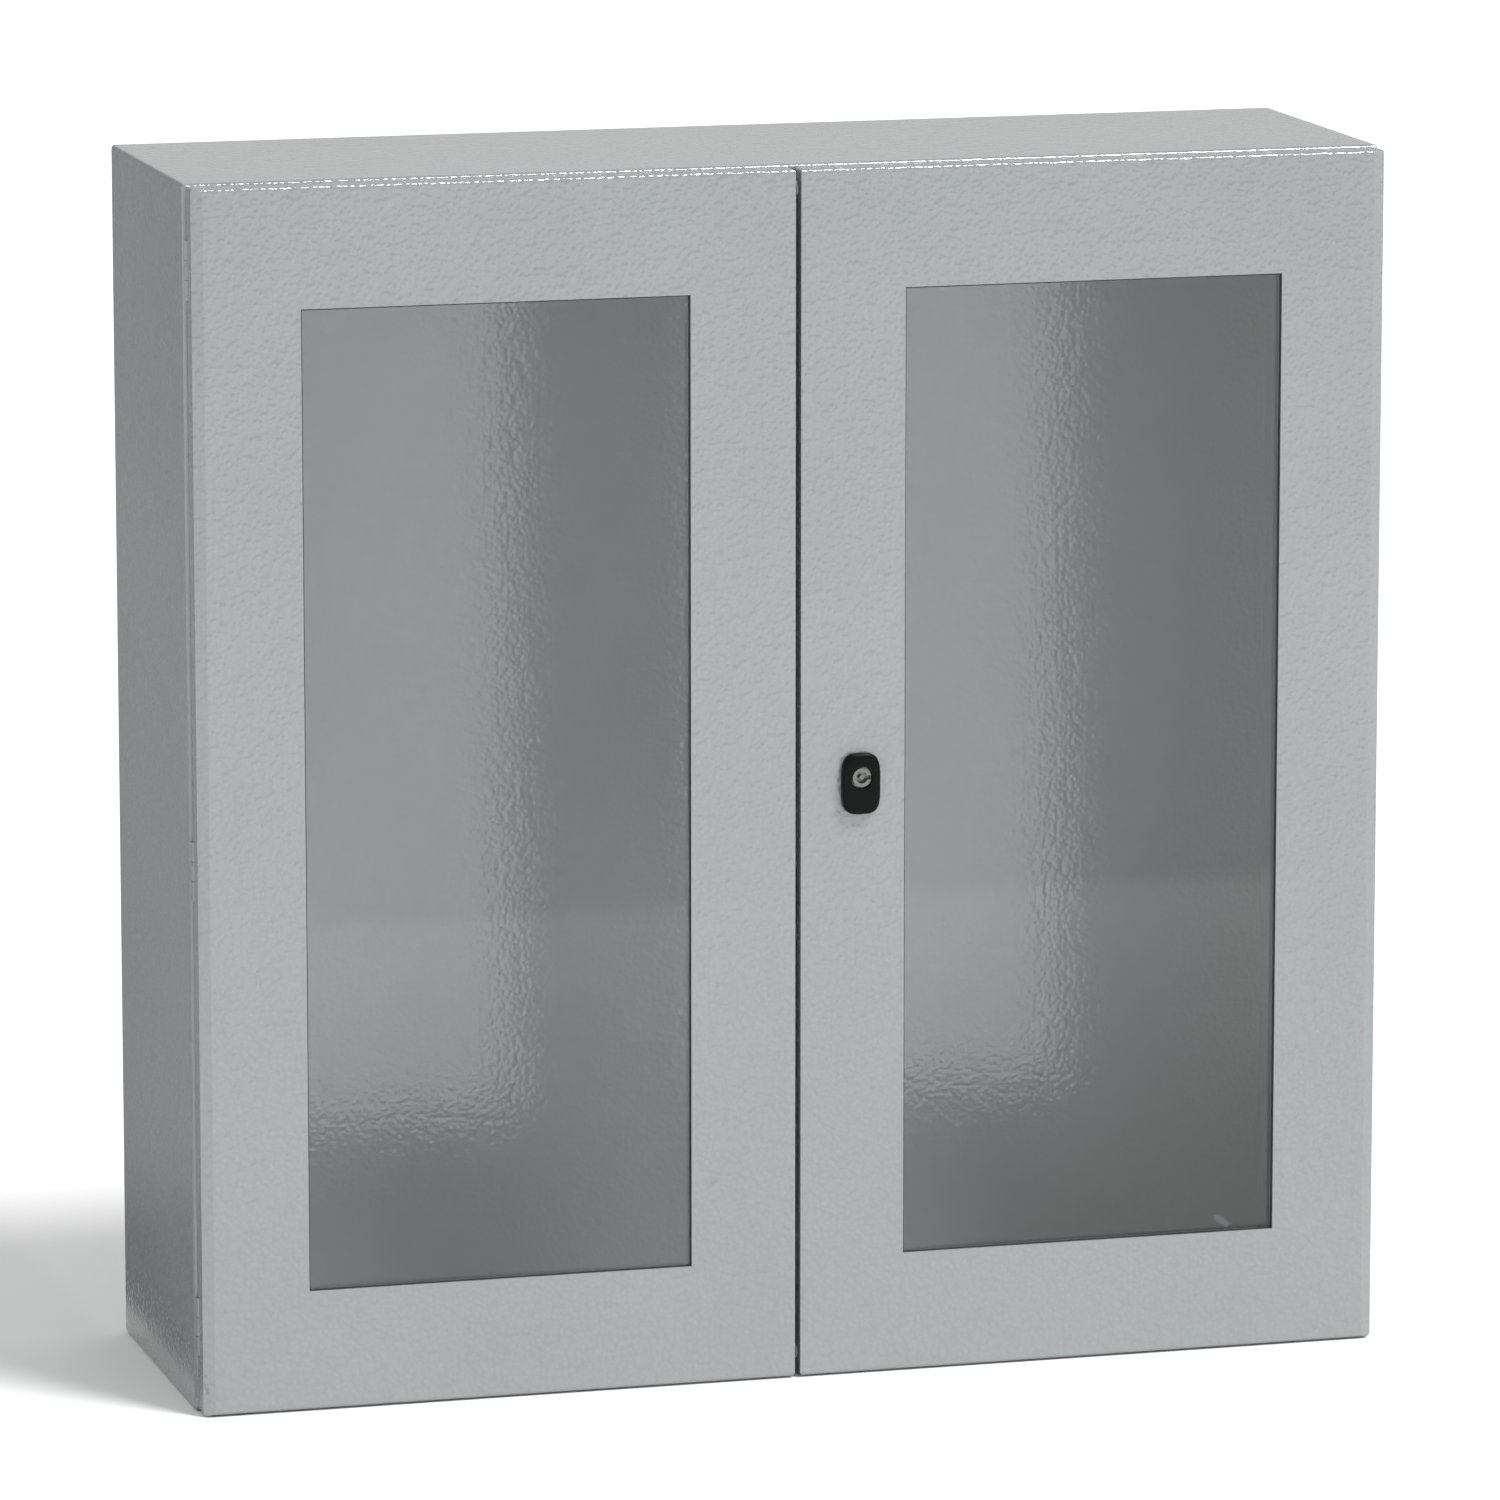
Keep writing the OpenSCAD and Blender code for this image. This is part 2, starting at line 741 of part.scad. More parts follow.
// ---- Lock ----

// An outline with bulging sides and rounded corners
module bulged_plate(in) {
  half = plate_w / 2 - in;
  end = plate_h / 2 - in;
  side_arc_r = (end * end + plate_bulge * plate_bulge) / (2 * plate_bulge);
  end_arc_r = (half * half + plate_end_bulge * plate_end_bulge) / (2 * plate_end_bulge);
  intersection() {
    translate([half - side_arc_r, 0]) circle(side_arc_r);
    translate([side_arc_r - half, 0]) circle(side_arc_r);
    translate([0, end - end_arc_r]) circle(end_arc_r);
    translate([0, end_arc_r - end]) circle(end_arc_r);
    round_rect(-half, half, -end, end, plate_corner_r - in);
  }
}

module escutcheon() {
  color("#191a1b") from_front() at_lock() difference() {
    translate([0, 0, -plate_drop]) for (step = plate_steps) {
      slab_y(escutcheon_back_y - plate_t * step[1], escutcheon_back_y) bulged_plate(step[0]);
    }
    rod_along_y(0, 0, plate_bore_r, -lock_proj - eps, eps);
  }
}

module escutcheon_seal() {
  color("#101010") from_front() at_lock() slab_y(escutcheon_back_y, 0) difference() {
    translate([0, -plate_drop]) bulged_plate(seal_plate_in);
    circle(sleeve_r + free_gap);
  }
}

module lock_sleeve() {
  color("#c2c4c6") from_front() at_lock() difference() {
    rod_along_y(0, 0, sleeve_r, sleeve_y0, sleeve_y1);
    rod_along_y(0, 0, barrel_r + fit_gap, sleeve_y0 - eps, sleeve_y1 + eps);
  }
}

module lock_nut() {
  color("#c9cccc") from_front() at_lock() difference() {
    hex_along_y(0, 0, lock_nut_r, sheet_t, sheet_t + lock_nut_t);
    rod_along_y(0, 0, sleeve_r + fit_gap, 0, sheet_t + lock_nut_t + eps);
  }
}

// The turning insert, with a round key recess, its pin and a notch out to the rim
module lock_barrel() {
  color("#b9bcbe") from_front() at_lock() difference() {
    union() {
      rod_along_y(0, 0, barrel_r, barrel_y0, sleeve_y1);
      rod_along_y(0, 0, neck_r, sleeve_y1 - neck_root, cam_y1);
    }
    difference() {
      rod_along_y(0, 0, key_r, barrel_y0 - eps, barrel_y0 + key_deep);
      rod_along_y(0, 0, key_pin_r, barrel_y0 + key_pin_in, barrel_y0 + key_deep + eps);
    }
    box(key_pin_r + eps, barrel_r + eps, barrel_y0 - eps, barrel_y0 + key_deep,
      -key_notch_w / 2, key_notch_w / 2);
    rod_along_y(0, 0, cam_screw_r + fit_gap, cam_y1 - cam_bore_l, cam_y1 + eps);
  }
}

module lock_cam() {
  color("#c9cccc") from_front() at_lock() drive_disc(neck_r + fit_gap);
}

module cam_screw() {
  color("#c9cccc") from_front() at_lock() {
    rod_along_y(0, 0, cam_screw_r, cam_y1 - cam_screw_l, cam_y1 + eps);
    rod_along_y(0, 0, cam_washer_r, cam_y1, cam_y1 + cam_washer_t);
    rod_along_y(0, 0, cam_head_r, cam_y1, cam_y1 + cam_head_h);
  }
}

module meeting_edge_plugs() {
  color("#d0d0cb") from_front() for (z = plug_z) translate([meet_x, plug_y, z]) rotate([0, 90, 0]) {
    translate([0, 0, -plug_head_t]) cylinder(r = plug_head_r, h = plug_head_t);
    translate([0, 0, -eps]) cylinder(r = plug_stem_r, h = sheet_t + plug_barb_l + eps);
    translate([0, 0, sheet_t]) cylinder(r = plug_barb_r, h = plug_barb_l);
  }
}

// ---- Latch of the second door ----

// A bridge standing on two feet
module latch_bracket() {
  half = latch_neck_w / 2;
  color("#c9cccc") on_side(-1) at_lock() difference() {
    union() {
      box(-half, half, sheet_t, bracket_y1, -latch_neck_z, latch_neck_z);
      box(-half, half, sheet_t, sheet_t + guide_t, -latch_foot_z, latch_foot_z);
    }
    box(-half - eps, half + eps, sheet_t - eps, bracket_y0,
      -latch_neck_z + latch_leg_t, latch_neck_z - latch_leg_t);
    rod_along_y(0, 0, latch_pivot_r + fit_gap, bracket_y0 - eps, bracket_y1 + eps);
  }
}

// A rivet whose flange lies under the bridge and whose rim holds the disc
module latch_pivot() {
  color("#c9cccc") on_side(-1) at_lock() {
    rod_along_y(0, 0, latch_flange_r, bracket_y0 - latch_flange_t, bracket_y0);
    rod_along_y(0, 0, latch_pivot_r, bracket_y0 - eps, cam_y1 + free_gap + eps);
    rod_along_y(0, 0, latch_rim_r, cam_y1 + free_gap, cam_y1 + free_gap + latch_rim_t);
  }
}

module latch_disc() {
  color("#c9cccc") on_side(-1) at_lock() drive_disc(latch_pivot_r + fit_gap);
}

// The knob that works the latch by hand
module latch_knob() {
  color("#2b2c2d") on_side(-1) at_lock() translate([0, rod_y1, 0]) {
    rod_along_y(0, knob_z, knob_neck_r, 0, knob_l);
    rod_along_y(0, knob_z, knob_r, knob_neck_l, knob_l);
  }
}

// ---- Nodes ----

body_wrapper();
rear_panel();
centre_post();
centre_post_screws();
mounting_studs();
body_earth_stud();
body_earth_nut();
gland_gasket(-1);  // gland_gasket_left
gland_gasket(1);  // gland_gasket_right
gland_plate(-1);  // gland_plate_left
gland_plate(1);  // gland_plate_right
gland_plate_studs();
gland_plate_nuts();
hinge_body_leaves(-1);  // hinge_body_leaves_left
hinge_body_leaves(1);  // hinge_body_leaves_right
hinge_pins(-1);  // hinge_pins_left
hinge_pins(1);  // hinge_pins_right
door_shell(1);  // right_door_shell
glazing_seal(1);  // right_glazing_seal
glass_pane(1);  // right_glass
glass_frame(1);  // right_glass_frame
frame_studs(1);  // right_frame_studs
frame_nuts(1);  // right_frame_nuts
door_gasket(1);  // right_door_gasket
hinge_door_leaves(1);  // right_hinge_door_leaves
earth_stud(1);  // right_earth_stud
earth_nut(1);  // right_earth_nut
rod_guides(1);  // right_rod_guides
meeting_edge_plugs();
escutcheon();
escutcheon_seal();
lock_sleeve();
lock_nut();
lock_barrel();
lock_cam();
cam_screw();
upper_rod(1);  // right_upper_rod
lower_rod(1);  // right_lower_rod
door_shell(-1);  // left_door_shell
glazing_seal(-1);  // left_glazing_seal
glass_pane(-1);  // left_glass
glass_frame(-1);  // left_glass_frame
frame_studs(-1);  // left_frame_studs
frame_nuts(-1);  // left_frame_nuts
door_gasket(-1);  // left_door_gasket
hinge_door_leaves(-1);  // left_hinge_door_leaves
earth_stud(-1);  // left_earth_stud
earth_nut(-1);  // left_earth_nut
rod_guides(-1);  // left_rod_guides
latch_bracket();
latch_pivot();
latch_disc();
latch_knob();
upper_rod(-1);  // left_upper_rod
lower_rod(-1);  // left_lower_rod
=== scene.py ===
import math

import bmesh
import bpy
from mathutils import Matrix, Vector


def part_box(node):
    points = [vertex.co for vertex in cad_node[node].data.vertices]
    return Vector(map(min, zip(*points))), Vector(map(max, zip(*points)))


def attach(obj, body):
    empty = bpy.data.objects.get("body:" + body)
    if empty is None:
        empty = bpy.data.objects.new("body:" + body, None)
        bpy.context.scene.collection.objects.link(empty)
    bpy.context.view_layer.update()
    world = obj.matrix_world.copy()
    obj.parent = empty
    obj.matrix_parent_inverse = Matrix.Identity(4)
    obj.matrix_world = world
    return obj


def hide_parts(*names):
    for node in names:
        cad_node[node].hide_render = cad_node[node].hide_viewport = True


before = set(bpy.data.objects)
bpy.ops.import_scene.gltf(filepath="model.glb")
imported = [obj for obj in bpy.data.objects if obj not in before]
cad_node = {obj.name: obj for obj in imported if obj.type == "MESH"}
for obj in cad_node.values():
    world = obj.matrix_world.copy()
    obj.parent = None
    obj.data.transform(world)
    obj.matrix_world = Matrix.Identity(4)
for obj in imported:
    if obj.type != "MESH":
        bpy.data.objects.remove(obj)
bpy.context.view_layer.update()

# ---- Enclosure body, rear panel, centre post and hinge leaves ----
# Sheet steel 1.5 mm thick, bent and welded, then painted in one go with the doors.
# The powder is a textured light grey: it flows into leathery cells about 5 mm across.


def linear(hex_colour, alpha=1.0):
    """The linear colour of an sRGB hex value."""
    parts = [int(hex_colour[i : i + 2], 16) / 255 for i in (1, 3, 5)]
    return [c / 12.92 if c <= 0.04045 else ((c + 0.055) / 1.055) ** 2.4 for c in parts] + [alpha]


def per_metre(size_mm):
    """A texture's scale for a pattern that repeats at this size."""
    return 1000 / size_mm


def start_material(name):
    """An empty material, with its node tree and the piece's own coordinates in metres."""
    made = bpy.data.materials.new(name)
    made.use_nodes = True
    made.node_tree.nodes.clear()
    place = add_node(made.node_tree, "ShaderNodeTexCoord").outputs["Object"]
    return made, made.node_tree, place


def add_node(tree, kind, inputs=(), links=(), **settings):
    """Adds one node with its settings, the values of its inputs and the links into it."""
    made = tree.nodes.new(kind)
    for name, value in settings.items():
        setattr(made, name, value)
    for name, value in dict(inputs).items():
        made.inputs[name].default_value = value
    for name, socket in dict(links).items():
        tree.links.new(socket, made.inputs[name])
    return made


def finish_with(tree, shader):
    """Sends the shader to the material's output."""
    add_node(tree, "ShaderNodeOutputMaterial", links={"Surface": shader.outputs[0]})


# Textured polyester powder coat over steel, baked: glossy enough to mirror a bright room
# softly, and each cell's rim bends that mirror, so the grain shows most at its edges.
# The baked resin lies dense and clear over its pigment, so its specular level is raised.
def powder_coat(name, grey, painted_groove_shade_grey, cell_mm, relief_mm):
    made, tree, place = start_material(name)
    wander = add_node(
        tree,
        "ShaderNodeTexNoise",
        inputs={"Scale": per_metre(cell_mm * 1.6), "Detail": 2.0, "Roughness": 0.5},
        links={"Vector": place},
    )
    bent = add_node(
        tree,
        "ShaderNodeMix",
        data_type="VECTOR",
        blend_type="MIX",
        inputs={0: cell_mm * 0.0007},
        links={4: place, 5: wander.outputs["Color"]},
    )
    cells = add_node(
        tree,
        "ShaderNodeTexVoronoi",
        feature="SMOOTH_F1",
        inputs={"Scale": per_metre(cell_mm), "Smoothness": 0.35, "Randomness": 0.9},
        links={"Vector": bent.outputs[1]},
    )
    folds = add_node(
        tree,
        "ShaderNodeTexNoise",
        inputs={"Scale": per_metre(cell_mm * 2.2), "Detail": 3.0, "Roughness": 0.55},
        links={"Vector": place},
    )
    height = add_node(
        tree,
        "ShaderNodeMath",
        operation="MULTIPLY_ADD",
        inputs={1: -0.8},
        links={0: cells.outputs["Distance"], 2: folds.outputs["Fac"]},
    )
    bump = add_node(
        tree,
        "ShaderNodeBump",
        inputs={"Strength": 1.0, "Distance": relief_mm / 1000},
        links={"Height": height.outputs[0]},
    )
    drift = add_node(
        tree,
        "ShaderNodeTexNoise",
        inputs={"Scale": per_metre(180), "Detail": 2.0},
        links={"Vector": place},
    )
    shade = add_node(
        tree,
        "ShaderNodeMapRange",
        inputs={"From Min": -0.2, "From Max": 0.6, "To Min": 0.0, "To Max": 1.0},
        links={"Value": height.outputs[0]},
    )
    # The grooves between the cells take a slightly darker grey: painted shade in the grain's
    # hollows.
    colour = add_node(
        tree,
        "ShaderNodeMix",
        data_type="RGBA",
        inputs={6: linear(painted_groove_shade_grey), 7: linear(grey)},
        links={0: shade.outputs[0]},
    )
    tone = add_node(
        tree,
        "ShaderNodeMapRange",
        inputs={"From Min": 0.35, "From Max": 0.65, "To Min": 0.975, "To Max": 1.02},
        links={"Value": drift.outputs["Fac"]},
    )
    toned = add_node(
        tree,
        "ShaderNodeVectorMath",
        operation="SCALE",
        links={0: colour.outputs[2], "Scale": tone.outputs[0]},
    )
    gloss = add_node(
        tree,
        "ShaderNodeMapRange",
        inputs={"From Min": 0.3, "From Max": 0.7, "To Min": 0.10, "To Max": 0.18},
        links={"Value": folds.outputs["Fac"]},
    )
    paint = add_node(
        tree,
        "ShaderNodeBsdfPrincipled",
        inputs={"IOR": 1.57, "Specular IOR Level": 1.0},
        links={
            "Base Color": toned.outputs[0],
            "Roughness": gloss.outputs[0],
            "Normal": bump.outputs[0],
        },
    )
    finish_with(tree, paint)
    return made


def dress(node_names, material):
    """Gives CAD nodes one material."""
    for name in node_names:
        mesh = cad_node[name].data
        mesh.materials.clear()
        mesh.materials.append(material)


# The second grey is the grooves' colour, a painted shade in the grain's hollows.
body_paint = powder_coat("powder coat, textured light grey", "#858a8a", "#808585", 4.7, 0.30)
dress(
    [
        "body_wrapper",
        "rear_panel",
        "centre_post",
        "hinge_body_leaves_left",
        "hinge_body_leaves_right",
    ],
    body_paint,
)

# ---- Centre post screws ----
# Four M5 pan-head screws of zinc-plated steel, driven from the front into the post's web.
# Each head is domed, with a round hollow for the driver.


def turned(mesh, profile, foot, axis, steps=48):
    """Spins a profile of (radius, distance along) points about an axis from foot."""
    turn = Vector((0, 0, 1)).rotation_difference(Vector(axis))
    rings = []
    for radius, along in profile:
        if radius == 0:
            rings.append([mesh.verts.new(turn @ Vector((0, 0, along)) + Vector(foot))])
            continue
        ring = []
        for i in range(steps):
            angle = 2 * math.pi * i / steps
            spot = Vector((radius * math.cos(angle), radius * math.sin(angle), along))
            ring.append(mesh.verts.new(turn @ spot + Vector(foot)))
        rings.append(ring)
    for first, second in zip(rings, rings[1:]):
        bridge(mesh, first, second)


def bridge(mesh, first, second):
    """Joins two rings with faces, where either may be a single point."""
    count = max(len(first), len(second))
    for i in range(count):
        j = (i + 1) % count
        corners = [first[i % len(first)], first[j % len(first)]]
        corners += [second[j % len(second)], second[i % len(second)]]
        corners = [c for k, c in enumerate(corners) if c not in corners[:k]]
        if len(corners) > 2:
            mesh.faces.new(corners)


def finished_piece(mesh, name, body, slot, material, *stands_for, crease=35):
    """Turns the mesh into an object that rides on a body and stands for CAD nodes."""
    bmesh.ops.recalc_face_normals(mesh, faces=mesh.faces)
    data = bpy.data.meshes.new(name)
    mesh.to_mesh(data)
    mesh.free()
    data.materials.append(material)
    data.shade_smooth()
    data.set_sharp_from_angle(angle=math.radians(crease))
    made = bpy.data.objects.new(name, data)
    bpy.context.scene.collection.objects.link(made)
    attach(made, body)
    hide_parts(*stands_for)
    return made


# Bright zinc plating on steel: a cool grey metal with soft crystal patches and a faint haze.
def zinc_plate(name, grey, dull_grey, grain_mm, haze):
    made, tree, place = start_material(name)
    patches = add_node(
        tree,
        "ShaderNodeTexVoronoi",
        inputs={"Scale": per_metre(grain_mm * 2)},
        links={"Vector": place},
    )
    grain = add_node(
        tree,
        "ShaderNodeTexNoise",
        inputs={"Scale": per_metre(grain_mm), "Detail": 4.0, "Roughness": 0.6},
        links={"Vector": place},
    )
    blotch = add_node(
        tree,
        "ShaderNodeMix",
        data_type="FLOAT",
        inputs={0: 0.6},
        links={2: patches.outputs["Color"], 3: grain.outputs["Fac"]},
    )
    colour = add_node(
        tree,
        "ShaderNodeMix",
        data_type="RGBA",
        inputs={6: linear(dull_grey), 7: linear(grey)},
        links={0: blotch.outputs[0]},
    )
    gloss = add_node(
        tree,
        "ShaderNodeMapRange",
        inputs={"From Min": 0.2, "From Max": 0.8, "To Min": haze - 0.08, "To Max": haze + 0.08},
        links={"Value": grain.outputs["Fac"]},
    )
    bump = add_node(
        tree,
        "ShaderNodeBump",
        inputs={"Strength": 0.6, "Distance": 0.00002},
        links={"Height": grain.outputs["Fac"]},
    )
    metal = add_node(
        tree,
        "ShaderNodeBsdfPrincipled",
        inputs={"Metallic": 1.0},
        links={
            "Base Color": colour.outputs[2],
            "Roughness": gloss.outputs[0],
            "Normal": bump.outputs[0],
        },
    )
    finish_with(tree, metal)
    return made


zinc = zinc_plate("zinc-plated steel, bright", "#c9cdd0", "#a8adb1", 1.2, 0.34)

screw_low, screw_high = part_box("centre_post_screws")
screw_head_r = 0.0045
screw_head_h = 0.0026
screw_shank_r = 0.0025
screw_end_r = 0.0022
screw_l = screw_high.y - screw_low.y
screws = bmesh.new()
for screw_x in (screw_low.x + screw_head_r, screw_high.x - screw_head_r):
    for screw_z in (screw_low.z + screw_head_r, screw_high.z - screw_head_r):
        turned(
            screws,
            [
                (0, screw_l),
                (screw_end_r, screw_l),
                (screw_shank_r, screw_l - 0.0004),
                (screw_shank_r, screw_head_h),
                (screw_head_r, screw_head_h),
                (screw_head_r, 0.0017),
                (0.0042, 0.0008),
                (0.0033, 0.0003),
                (0.0022, 0.0),
                (0.0019, 0.0),
                (0.0014, 0.0013),
                (0, 0.0015),
            ],
            (screw_x, screw_low.y, screw_z),
            (0, 1, 0),
        )
finished_piece(
    screws, "centre_post_pan_screws", "enclosure", "zinc_plated_steel", zinc, "centre_post_screws"
)

# ---- Mounting studs ----
# Four M8 x 35 studs, welded to the rear panel, that carry the mounting plate.
# Rolled thread of 1.25 mm pitch over zinc-plated steel, with a chamfered end.


def threaded_rod(mesh, foot, axis, radius, length, pitch, steps=24, rings_per_pitch=5):
    """A rod with a helical thread from foot along axis, closed at both ends."""
    turn = Vector((0, 0, 1)).rotation_difference(Vector(axis))
    depth = 0.6 * pitch
    count = int(length / pitch * rings_per_pitch)
    rings = []
    for k in range(count + 1):
        along = length * k / count
        ring = []
        for i in range(steps):
            phase = (along / pitch - i / steps) % 1
            groove = depth * abs(2 * phase - 1)
            taper = max(0.0, along - (length - pitch)) * 0.8
            reach = min(radius - groove, radius - taper)
            angle = 2 * math.pi * i / steps
            spot = Vector((reach * math.cos(angle), reach * math.sin(angle), along))
            ring.append(mesh.verts.new(turn @ spot + Vector(foot)))
        rings.append(ring)
    for first, second in zip(rings, rings[1:]):
        bridge(mesh, first, second)
    mesh.faces.new(rings[0])
    mesh.faces.new(rings[-1])


stud_low, stud_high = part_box("mounting_studs")
stud_r = 0.004
m8_pitch = 0.00125
studs = bmesh.new()
for stud_x in (stud_low.x + stud_r, stud_high.x - stud_r):
    for stud_z in (stud_low.z + stud_r, stud_high.z - stud_r):
        threaded_rod(
            studs,
            (stud_x, stud_high.y, stud_z),
            (0, -1, 0),
            stud_r,
            stud_high.y - stud_low.y,
            m8_pitch,
        )
finished_piece(studs, "m8_studs", "enclosure", "zinc_plated_steel", zinc, "mounting_studs")

# ---- Earth stud of the body ----
# An M6 brass stud on the left wall, with a zinc-plated nut and washer.
# The brass is turned and left bare, so it is warm and a little tarnished.


# Bare turned brass: warm yellow metal, browner and duller where it has tarnished.
def brass_turned():
    made, tree, place = start_material("brass, turned and bare")
    tarnish = add_node(
        tree,
        "ShaderNodeTexNoise",
        inputs={"Scale": per_metre(2.5), "Detail": 5.0, "Roughness": 0.6},
        links={"Vector": place},
    )
    colour = add_node(
        tree,
        "ShaderNodeMix",
        data_type="RGBA",
        inputs={6: linear("#8f6f3c"), 7: linear("#d3ac62")},
        links={0: tarnish.outputs["Fac"]},
    )
    thread = add_node(
        tree,
        "ShaderNodeTexNoise",
        inputs={"Scale": per_metre(0.5), "Detail": 2.0},
        links={"Vector": place},
    )
    bump = add_node(
        tree,
        "ShaderNodeBump",
        inputs={"Strength": 0.5, "Distance": 0.00003},
        links={"Height": thread.outputs["Fac"]},
    )
    gloss = add_node(
        tree,
        "ShaderNodeMapRange",
        inputs={"To Min": 0.22, "To Max": 0.45},
        links={"Value": tarnish.outputs["Fac"]},
    )
    metal = add_node(
        tree,
        "ShaderNodeBsdfPrincipled",
        inputs={"Metallic": 1.0},
        links={
            "Base Color": colour.outputs[2],
            "Roughness": gloss.outputs[0],
            "Normal": bump.outputs[0],
        },
    )
    finish_with(tree, metal)
    return made


def hex_nut(mesh, foot, axis, corner_r, thick, bore_r, steps=48):
    """A nut with chamfered corners and a plain bore, from foot along axis."""
    turn = Vector((0, 0, 1)).rotation_difference(Vector(axis))
    flat_r = corner_r * math.cos(math.pi / 6)
    rings = []
    for level in ("bore_low", "face_low", "side_low", "side_high", "face_high", "bore_high"):
        ring = []
        for i in range(steps):
            angle = 2 * math.pi * i / steps
            from_flat = (angle % (math.pi / 3)) - math.pi / 6
            hex_r = flat_r / math.cos(from_flat)
            drop = (hex_r - flat_r * 0.97) * 0.58
            reach, along = {
                "bore_low": (bore_r, 0),
                "face_low": (flat_r * 0.97, 0),
                "side_low": (hex_r, drop),
                "side_high": (hex_r, thick - drop),
                "face_high": (flat_r * 0.97, thick),
                "bore_high": (bore_r, thick),
            }[level]
            spot = Vector((reach * math.cos(angle), reach * math.sin(angle), along))
            ring.append(mesh.verts.new(turn @ spot + Vector(foot)))
        rings.append(ring)
    for first, second in zip(rings, rings[1:] + rings[:1]):
        bridge(mesh, first, second)


def washer(mesh, foot, axis, outer_r, inner_r, thick):
    """A flat ring with a softened rim."""
    soft = thick * 0.25
    turned(
        mesh,
        [
            (inner_r, 0),
            (outer_r - soft, 0),
            (outer_r, soft),
            (outer_r, thick - soft),
            (outer_r - soft, thick),
            (inner_r, thick),
            (inner_r, 0),
        ],
        foot,
        axis,
    )


brass = brass_turned()
earth_r = 0.003
m6_pitch = 0.001
earth_washer_r = 0.0074
earth_washer_t = 0.0014
earth_nut_r = 0.0058
earth_nut_t = 0.005


def earth_point(where, body, axis):
    """An earth stud that stands along axis, with its washer and nut."""
    box_low, box_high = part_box(where + "_earth_stud")
    out = Vector(axis)
    length = (box_high - box_low).dot(out)
    foot = (box_low + box_high) / 2 - out * length / 2
    thread = bmesh.new()
    threaded_rod(thread, foot, out, earth_r, length, m6_pitch)
    finished_piece(thread, where + "_earth_thread", body, "brass", brass, where + "_earth_stud")
    nut = bmesh.new()
    washer(nut, foot, out, earth_washer_r, earth_r, earth_washer_t)
    hex_nut(nut, foot + out * earth_washer_t, out, earth_nut_r, earth_nut_t, earth_r)
    nut_name = where + "_earth_hex_nut"
    finished_piece(nut, nut_name, body, "zinc_plated_steel", zinc, where + "_earth_nut")


earth_point("body", "enclosure", (1, 0, 0))

# ---- Gland plates in the bottom ----
# Two zinc-plated steel plates over rubber gaskets close the cable cut-outs.
# Each is held by six M5 studs and nuts from inside.


# EPDM rubber, calendered sheet: nearly black, matt, with a fine pebbled skin.
def epdm_rubber():
    made, tree, place = start_material("EPDM rubber, matt black")
    pebble = add_node(
        tree,
        "ShaderNodeTexNoise",
        inputs={"Scale": per_metre(0.8), "Detail": 3.0},
        links={"Vector": place},
    )
    bloom = add_node(
        tree,
        "ShaderNodeTexNoise",
        inputs={"Scale": per_metre(25), "Detail": 4.0},
        links={"Vector": place},
    )
    colour = add_node(
        tree,
        "ShaderNodeMix",
        data_type="RGBA",
        inputs={6: linear("#1c1d1e"), 7: linear("#333536")},
        links={0: bloom.outputs["Fac"]},
    )
    gloss = add_node(
        tree,
        "ShaderNodeMapRange",
        inputs={"To Min": 0.6, "To Max": 0.85},
        links={"Value": pebble.outputs["Fac"]},
    )
    bump = add_node(
        tree,
        "ShaderNodeBump",
        inputs={"Strength": 0.7, "Distance": 0.00005},
        links={"Height": pebble.outputs["Fac"]},
    )
    rubber = add_node(
        tree,
        "ShaderNodeBsdfPrincipled",
        inputs={"IOR": 1.5},
        links={
            "Base Color": colour.outputs[2],
            "Roughness": gloss.outputs[0],
            "Normal": bump.outputs[0],
        },
    )
    finish_with(tree, rubber)
    return made


rubber = epdm_rubber()
plate_zinc = zinc_plate("zinc-plated steel sheet, dull", "#bfc3c5", "#a1a6a9", 4.0, 0.45)
dress(["gland_gasket_left", "gland_gasket_right"], rubber)
dress(["gland_plate_left", "gland_plate_right"], plate_zinc)

gland_stud_r = 0.0025
gland_nut_r = 0.0046
m5_pitch = 0.0008
gland_low, gland_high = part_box("gland_plate_studs")
nuts_low, nuts_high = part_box("gland_plate_nuts")
left_low, left_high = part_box("gland_plate_left")
gland_studs = bmesh.new()
gland_nuts = bmesh.new()
stud_rows = (gland_low.y + gland_stud_r, gland_high.y - gland_stud_r)
first_x = gland_low.x + gland_stud_r
last_x = left_low.x + left_high.x - first_x
stud_columns = [first_x, (first_x + last_x) / 2, last_x]
for column in stud_columns + [-x for x in stud_columns]:
    for row in stud_rows:
        threaded_rod(
            gland_studs,
            (column, row, gland_low.z),
            (0, 0, 1),
            gland_stud_r,
            gland_high.z - gland_low.z,
            m5_pitch,
            steps=16,
        )
        hex_nut(
            gland_nuts,
            (column, row, nuts_low.z),
            (0, 0, 1),
            gland_nut_r,
            nuts_high.z - nuts_low.z,
            gland_stud_r,
        )
finished_piece(
    gland_studs, "gland_m5_studs", "enclosure", "zinc_plated_steel", zinc, "gland_plate_studs"
)
finished_piece(
    gland_nuts, "gland_hex_nuts", "enclosure", "zinc_plated_steel", zinc, "gland_plate_nuts"
)

# ---- Hinge pins ----
# Plain 4 mm pins of zinc-plated steel, one in each of the six hinges.
# Their ends show at the knuckles and stay bright.

dress(["hinge_pins_left", "hinge_pins_right"], zinc)

# ---- Door shells, glass frames and door hinge leaves ----
# Folded trays of the same sheet steel as the body, with a window cut in each.
# They hang in the open in the paint oven, so their powder lies a little thicker.

